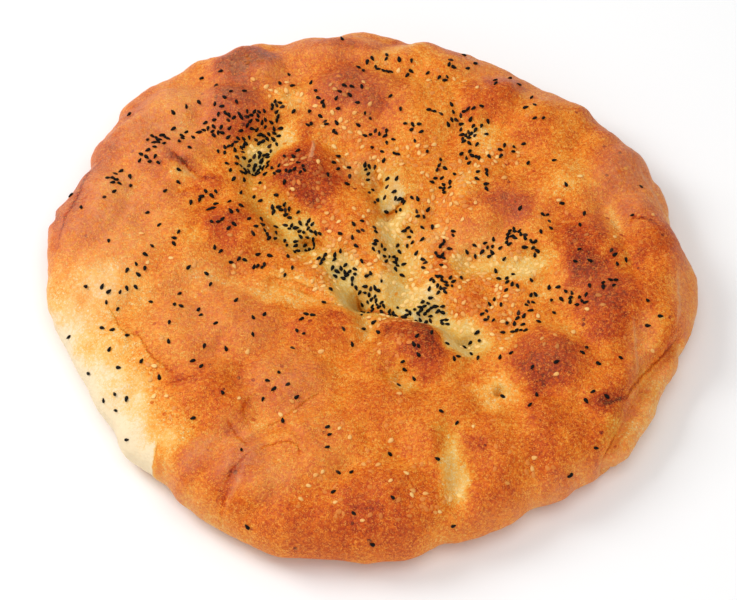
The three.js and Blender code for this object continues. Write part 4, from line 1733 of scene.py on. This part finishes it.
@dataclass(frozen=True)
class CrustFinish:
    """Egg-washed crust.

    Tones are shares of the bake, covers are shares of a colour laid over it, and heights are in
    millimetres.

    Attributes:
        stops: Colours from raw dough to scorched.
        dent_shade_tint: Painted shade laid over a dent by multiplying, which also turns it a little green.
        bloom_and_sheen_colour: The pinkish colour of dried egg wash, also laid on as painted sheen.
        speck_and_highlight_colour: The pale specks, partly lifted skin and partly painted highlight.
        flour: Colour of the floured underside.
        roughness: Roughness of plain crust.
        rough_marks: How much rougher fine marks and flour are.
        gloss: Strength of its highlights.
        even_tone: How much darker the whole crust is than its bake.
        soft_tone: How far the broad mottling darkens it.
        fine_tone: How far the fine mottling does.
        cell_tone: How far the blisters' tones differ.
        chip_tone: How much darker a chip is.
        blister_pale_and_highlight: How much paler a blister is, partly its own colour and partly painted
            highlight.
        bubble_pale_and_highlight: How much paler a bubble is, partly its own colour and partly painted
            highlight.
        speck_and_highlight_pale: How much paler the pale specks are.
        speck_and_highlight_cover: Cover of the pale specks' colour.
        bloom_and_sheen_cover: Cover of that pinkish colour.
        bloom_and_sheen_grain: How far the fine mottling breaks it up.
        bloom_and_sheen_gap: How far a fold's line clears it.
        flour_cover: Cover of the flour.
        fine_height: Height of the fine mottling.
        swell_height: Height of the broader unevenness.
        dust_height: Height of the finest grain.
        blister_height: Height of a blister.
        wrinkle_height: Height of a wrinkle.
        bubble_height: Height of a bubble.
    """

    stops: tuple = (
        (0.00, srgb(238, 216, 178)),
        (0.12, srgb(236, 190, 116)),
        (0.20, srgb(238, 175, 84)),
        (0.32, srgb(237, 152, 50)),
        (0.45, srgb(229, 127, 28)),
        (0.58, srgb(214, 104, 16)),
        (0.70, srgb(196, 80, 7)),
        (0.82, srgb(170, 56, 4)),
        (0.92, srgb(140, 42, 4)),
        (1.00, srgb(106, 32, 6)),
    )
    dent_shade_tint: Colour = srgb(236, 242, 214)
    bloom_and_sheen_colour: Colour = srgb(220, 146, 104)
    speck_and_highlight_colour: Colour = srgb(248, 188, 92)
    flour: Colour = srgb(238, 212, 170)
    roughness: float = 0.45
    rough_marks: float = 0.3
    gloss: float = 0.18
    even_tone: float = 0.08
    soft_tone: float = 0.22
    fine_tone: float = 0.35
    cell_tone: float = 0.24
    chip_tone: float = 0.34
    blister_pale_and_highlight: float = 0.14
    bubble_pale_and_highlight: float = 0.12
    speck_and_highlight_pale: float = 0.16
    speck_and_highlight_cover: float = 0.26
    bloom_and_sheen_cover: float = 0.8
    bloom_and_sheen_grain: float = 1.5
    bloom_and_sheen_gap: float = 4.0
    flour_cover: float = 0.6
    fine_height: float = 0.35
    swell_height: float = 0.5
    dust_height: float = 0.10
    blister_height: float = 0.16
    wrinkle_height: float = 0.12
    bubble_height: float = 0.24

    def bake(self, maker: Maker, pattern: CrustPattern) -> Signal:
        """Adds the marks to the bake.

        Args:
            maker: Makes the nodes.
            pattern: The crust's pattern.

        Returns:
            The bake with its marks.
        """
        mottle = pattern.soft * self.soft_tone + pattern.fine * self.fine_tone
        # Paler blisters: partly their own colour, partly painted highlight.
        cells = (pattern.cell - 0.5) * self.cell_tone - pattern.blister * self.blister_pale_and_highlight
        marks = (mottle + cells) * pattern.crisp + pattern.chip * self.chip_tone + self.even_tone
        # Paler specks and bubbles: partly their own colour, partly painted highlight.
        pale = pattern.speck_and_highlight * self.speck_and_highlight_pale + pattern.bubble * self.bubble_pale_and_highlight
        # A fold's sides differ: partly the crust's own colour, partly painted shadow beside the fold.
        return pattern.baked + marks - pale + pattern.line + pattern.left * maker.read(Field.SHADE)

    def colour(self, maker: Maker, pattern: CrustPattern, flour: Signal) -> Signal:
        """Colours the crust.

        Args:
            maker: Makes the nodes.
            pattern: The crust's pattern.
            flour: Where flour lies.

        Returns:
            The colour.
        """
        # Pinkish colour of dried egg wash, partly painted sheen.
        dried = maker.noise(grain=5.0, detail=3.0) + pattern.fine * self.bloom_and_sheen_grain
        bloom_and_sheen = maker.read(Field.BLOOM_AND_SHEEN) * dried - pattern.line * self.bloom_and_sheen_gap
        colour = maker.ramp(self.bake(maker, pattern), self.stops)
        colour = maker.mix(bloom_and_sheen * self.bloom_and_sheen_cover, colour, self.bloom_and_sheen_colour)
        # Pale specks, partly painted highlight.
        colour = maker.mix(pattern.speck_and_highlight * self.speck_and_highlight_cover, colour, self.speck_and_highlight_colour)
        # Painted shade in the dents, multiplied over the colour.
        colour = maker.mix(maker.read(Field.DENT_SHADE), colour, self.dent_shade_tint, Blend.MULTIPLY)
        return maker.mix(flour * self.flour_cover, colour, self.flour)

    def height(self, maker: Maker, pattern: CrustPattern) -> Signal:
        """Shapes the crust's finest relief.

        Args:
            maker: Makes the nodes.
            pattern: The crust's pattern.

        Returns:
            The relief's height.
        """
        swell = maker.noise(grain=3.4, detail=3.0, roughness=0.6) * self.swell_height
        dust = maker.noise(grain=0.6) * self.dust_height
        skin = pattern.blister * self.blister_height + pattern.wrinkle * self.wrinkle_height
        relief = swell + pattern.fine * self.fine_height + dust + skin * pattern.crisp
        folds = pattern.left * maker.read(Field.LIFT) - pattern.line
        return relief + pattern.bubble * self.bubble_height + folds

    def make(self) -> bpy.types.Material:
        """Makes the material.

        Returns:
            The material.
        """
        maker = Maker("crust")
        pattern = CrustPattern(maker)
        dusted = maker.noise(grain=22.0, detail=5.0, roughness=0.65).between(0.32, 0.72)
        flour = maker.read(Field.UNDER) * dusted
        return maker.finish(
            Base_Color=self.colour(maker, pattern, flour),
            Roughness=self.roughness + (pattern.fine + flour) * self.rough_marks,
            Normal=maker.bump(self.height(maker, pattern)),
            Specular_IOR_Level=self.gloss,
        )


@dataclass(frozen=True)
class NigellaFinish:
    """Dull black seed coat, some of it glazed over with crust.

    Attributes:
        coat: Colour of the coat.
        worn: Colour of its worn spots.
        glazed: Colour of the glaze over it.
        glaze_cover: Cover of the thickest glaze.
        roughness: Least and most roughness.
        gloss: Strength of its highlights.
        relief: Height of its grain, in millimetres.
    """

    coat: Colour = srgb(6, 5, 5)
    worn: Colour = srgb(24, 21, 20)
    glazed: Colour = srgb(80, 50, 34)
    glaze_cover: float = 0.6
    roughness: Span = (0.4, 0.7)
    gloss: float = 0.12
    relief: float = 0.12

    def make(self) -> bpy.types.Material:
        """Makes the material.

        Returns:
            The material.
        """
        maker = Maker("nigella")
        grain = maker.noise(grain=0.5, detail=3.0, roughness=0.6)
        glaze = maker.read(Field.GLAZE).between(0.3, 1.0)
        colour = maker.mix(grain.between(0.5, 0.8) * maker.read(Field.TONE), self.coat, self.worn)
        return maker.finish(
            Base_Color=maker.mix(glaze * self.glaze_cover, colour, self.glazed),
            Roughness=lerp(*self.roughness, grain),
            Normal=maker.bump(grain * self.relief),
            Specular_IOR_Level=self.gloss,
        )


@dataclass(frozen=True)
class SesameFinish:
    """Toasted seed coat, the deep-set ones the colour of the crust.

    Attributes:
        pale: Colour of the palest seed.
        toasted: Colour of a well toasted one.
        glazed: Colour of the crust over it.
        burnt: Colour of a seed on scorched crust.
        tone_share: How far a seed's own tone decides how toasted it is.
        grain_share: How far its grain does.
        glaze_cover: Cover of the thickest glaze.
        burnt_cover: Cover of the most burnt colour.
        roughness: Least and most roughness.
        gloss: Strength of its highlights.
        relief: Height of its grain, in millimetres.
    """

    pale: Colour = srgb(242, 202, 126)
    toasted: Colour = srgb(220, 138, 50)
    glazed: Colour = srgb(214, 116, 34)
    burnt: Colour = srgb(160, 76, 30)
    tone_share: float = 0.6
    grain_share: float = 0.3
    glaze_cover: float = 0.85
    burnt_cover: float = 0.8
    roughness: Span = (0.42, 0.62)
    gloss: float = 0.25
    relief: float = 0.08

    def make(self) -> bpy.types.Material:
        """Makes the material.

        Returns:
            The material.
        """
        maker = Maker("sesame")
        grain = maker.noise(grain=0.7)
        tone, bake = maker.read(Field.TONE), maker.read(Field.BAKE)
        toast = tone * self.tone_share + grain * self.grain_share + bake
        glaze = maker.read(Field.GLAZE).between(0.1, 0.8) * bake.between(0.1, 0.45)
        burnt = bake.between(0.55, 0.85) * tone.between(0.0, 0.6)
        colour = maker.mix(toast.between(0.4, 1.6), self.pale, self.toasted)
        colour = maker.mix(glaze * self.glaze_cover, colour, self.glazed)
        return maker.finish(
            Base_Color=maker.mix(burnt * self.burnt_cover, colour, self.burnt),
            Roughness=lerp(*self.roughness, grain),
            Normal=maker.bump(grain * self.relief),
            Specular_IOR_Level=self.gloss,
        )


@dataclass(frozen=True)
class FloorFinish:
    """Plain pale floor.

    Attributes:
        colour: Its colour.
        stain: The colour of its slight stains.
        stain_cover: Cover of the strongest stain.
        stain_grain: Size of the stains, in millimetres.
        roughness: Its roughness.
    """

    colour: Colour = (0.92, 0.92, 0.92, 1.0)
    stain: Colour = (0.86, 0.86, 0.86, 1.0)
    stain_cover: float = 0.04
    stain_grain: float = 300.0
    roughness: float = 0.9

    def make(self) -> bpy.types.Material:
        """Makes the material.

        Returns:
            The material.
        """
        maker = Maker("floor")
        stained = maker.noise(self.stain_grain, detail=1.0) * self.stain_cover
        shade = maker.mix(stained, self.colour, self.stain)
        return maker.finish(Base_Color=shade, Roughness=self.roughness)


# --- Studio ---


@dataclass(frozen=True)
class SoftLight:
    """A square lamp that points at the bread.

    Attributes:
        name: Its name.
        place: Where it hangs, in metres.
        side: Its side, in metres.
        power: Its power, in watts.
    """

    name: str
    place: tuple[float, float, float]
    side: float
    power: float

    def hang(self) -> None:
        """Puts the lamp in the scene."""
        lamp = bpy.data.lights.new(self.name, "AREA")
        lamp.size = self.side
        lamp.energy = self.power
        holder = bpy.data.objects.new(self.name, lamp)
        holder.location = self.place
        holder.rotation_euler = (-Vector(self.place)).to_track_quat("-Z", "Y").to_euler()
        bpy.context.collection.objects.link(holder)


@dataclass(frozen=True)
class Studio:
    """The plain surroundings: floor, lamps and camera.

    Attributes:
        elevation: How far above the floor's plane the camera looks from, in degrees.
        distance: From the camera to the bread's middle.
        view_width: How much of the bread's plane the picture spans.
        aim: Where the middle of the picture lies from the bread's middle, right and up in the picture.
        aim_height: Height of the bread's middle.
        sensor: Width of the camera's sensor.
        sight: How far the camera sees, in metres.
        floor_side: Side of the floor.
        lights: The lamps.
        sky: Strength of the light from all round.
        sky_colour: Its colour.
    """

    elevation: float = 56.0
    distance: float = 2000.0
    view_width: float = 339.0
    aim: Span = (-1.2, -9.2)
    aim_height: float = 22.0
    sensor: float = 36.0
    sight: float = 20.0
    floor_side: float = 6000.0
    lights: tuple[SoftLight, ...] = (
        SoftLight("key_light", (-0.95, 0.35, 0.95), 0.7, 11.0),
        SoftLight("top_light", (0.2, -0.3, 1.6), 1.2, 7.5),
        SoftLight("front_light", (0.4, -1.6, 0.5), 1.4, 7.0),
    )
    sky: float = 0.5
    sky_colour: Colour = (1.0, 1.0, 1.0, 1.0)

    def lay_floor(self) -> None:
        """Puts the floor under the bread."""
        net = bmesh.new()
        bmesh.ops.create_grid(net, x_segments=1, y_segments=1, size=self.floor_side / 2 * MM)
        mesh = bpy.data.meshes.new("floor")
        net.to_mesh(mesh)
        net.free()
        make_object("floor", mesh, FloorFinish().make())

    def set_camera(self) -> None:
        """Puts the camera at the picture's viewpoint."""
        tilt = math.radians(self.elevation)
        back = Vector((0.0, -math.cos(tilt), math.sin(tilt)))
        up = Vector((0.0, math.sin(tilt), math.cos(tilt)))
        target = Vector((self.aim[0], 0.0, self.aim_height)) + up * self.aim[1]
        lens = bpy.data.cameras.new("camera")
        lens.sensor_width = self.sensor
        lens.lens = self.sensor * self.distance / self.view_width
        lens.clip_end = self.sight
        camera = bpy.data.objects.new("camera", lens)
        camera.location = (target + back * self.distance) * MM
        camera.rotation_euler = back.to_track_quat("Z", "Y").to_euler()
        bpy.context.collection.objects.link(camera)
        bpy.context.scene.camera = camera

    def light(self) -> None:
        """Hangs the lamps and evens the light from all round."""
        for lamp in self.lights:
            lamp.hang()
        world = bpy.data.worlds.new("studio")
        world.use_nodes = True
        background = world.node_tree.nodes["Background"]
        background.inputs["Color"].default_value = self.sky_colour
        background.inputs["Strength"].default_value = self.sky
        bpy.context.scene.world = world
        bpy.context.scene.view_settings.view_transform = "Standard"

    def set_up(self) -> None:
        """Makes the whole studio."""
        self.lay_floor()
        self.light()
        self.set_camera()


# --- The bread ---


def place_loaf() -> Loaf:
    """Makes the loaf's form, moved so that its widest line is centred on the node's box.

    The rim is measured without its bulges, so that they move nothing else on the bread.

    Returns:
        The loaf's form.
    """
    low, high = (Vector(corner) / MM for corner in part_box("bread"))
    loaf = Loaf(bulges=())
    half_degrees = np.arange(0.0, 360.0, 0.5)
    rim = loaf.edge_point(np.radians(half_degrees), np.zeros_like(half_degrees))
    middle = (rim.max(axis=0) + rim.min(axis=0)) / 2
    offset = Vector(((low.x + high.x) / 2 - middle[0], (low.y + high.y) / 2 - middle[1], 0.0))
    return Loaf(offset=offset)


def dress(piece: bpy.types.Object) -> None:
    """Fixes a piece to the bread's body, in place of the plain solid.

    Args:
        piece: The piece.
    """
    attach(piece, "root")
    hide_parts("bread")
    LOG.info("%s: %d faces", piece.name, len(piece.data.polygons))


def main() -> None:
    """Builds the bread and its studio."""
    logging.basicConfig(level=logging.INFO, format="%(name)s: %(message)s")
    loaf = place_loaf()
    baking = Baking()
    dress(Crust(loaf, baking).build(CrustFinish().make()))
    strewing = Strewing(loaf, baking)
    dress(strewing.build(NIGELLA, NigellaFinish().make()))
    dress(strewing.build(SESAME, SesameFinish().make()))
    Studio().set_up()


if __name__ == "__main__":
    main()
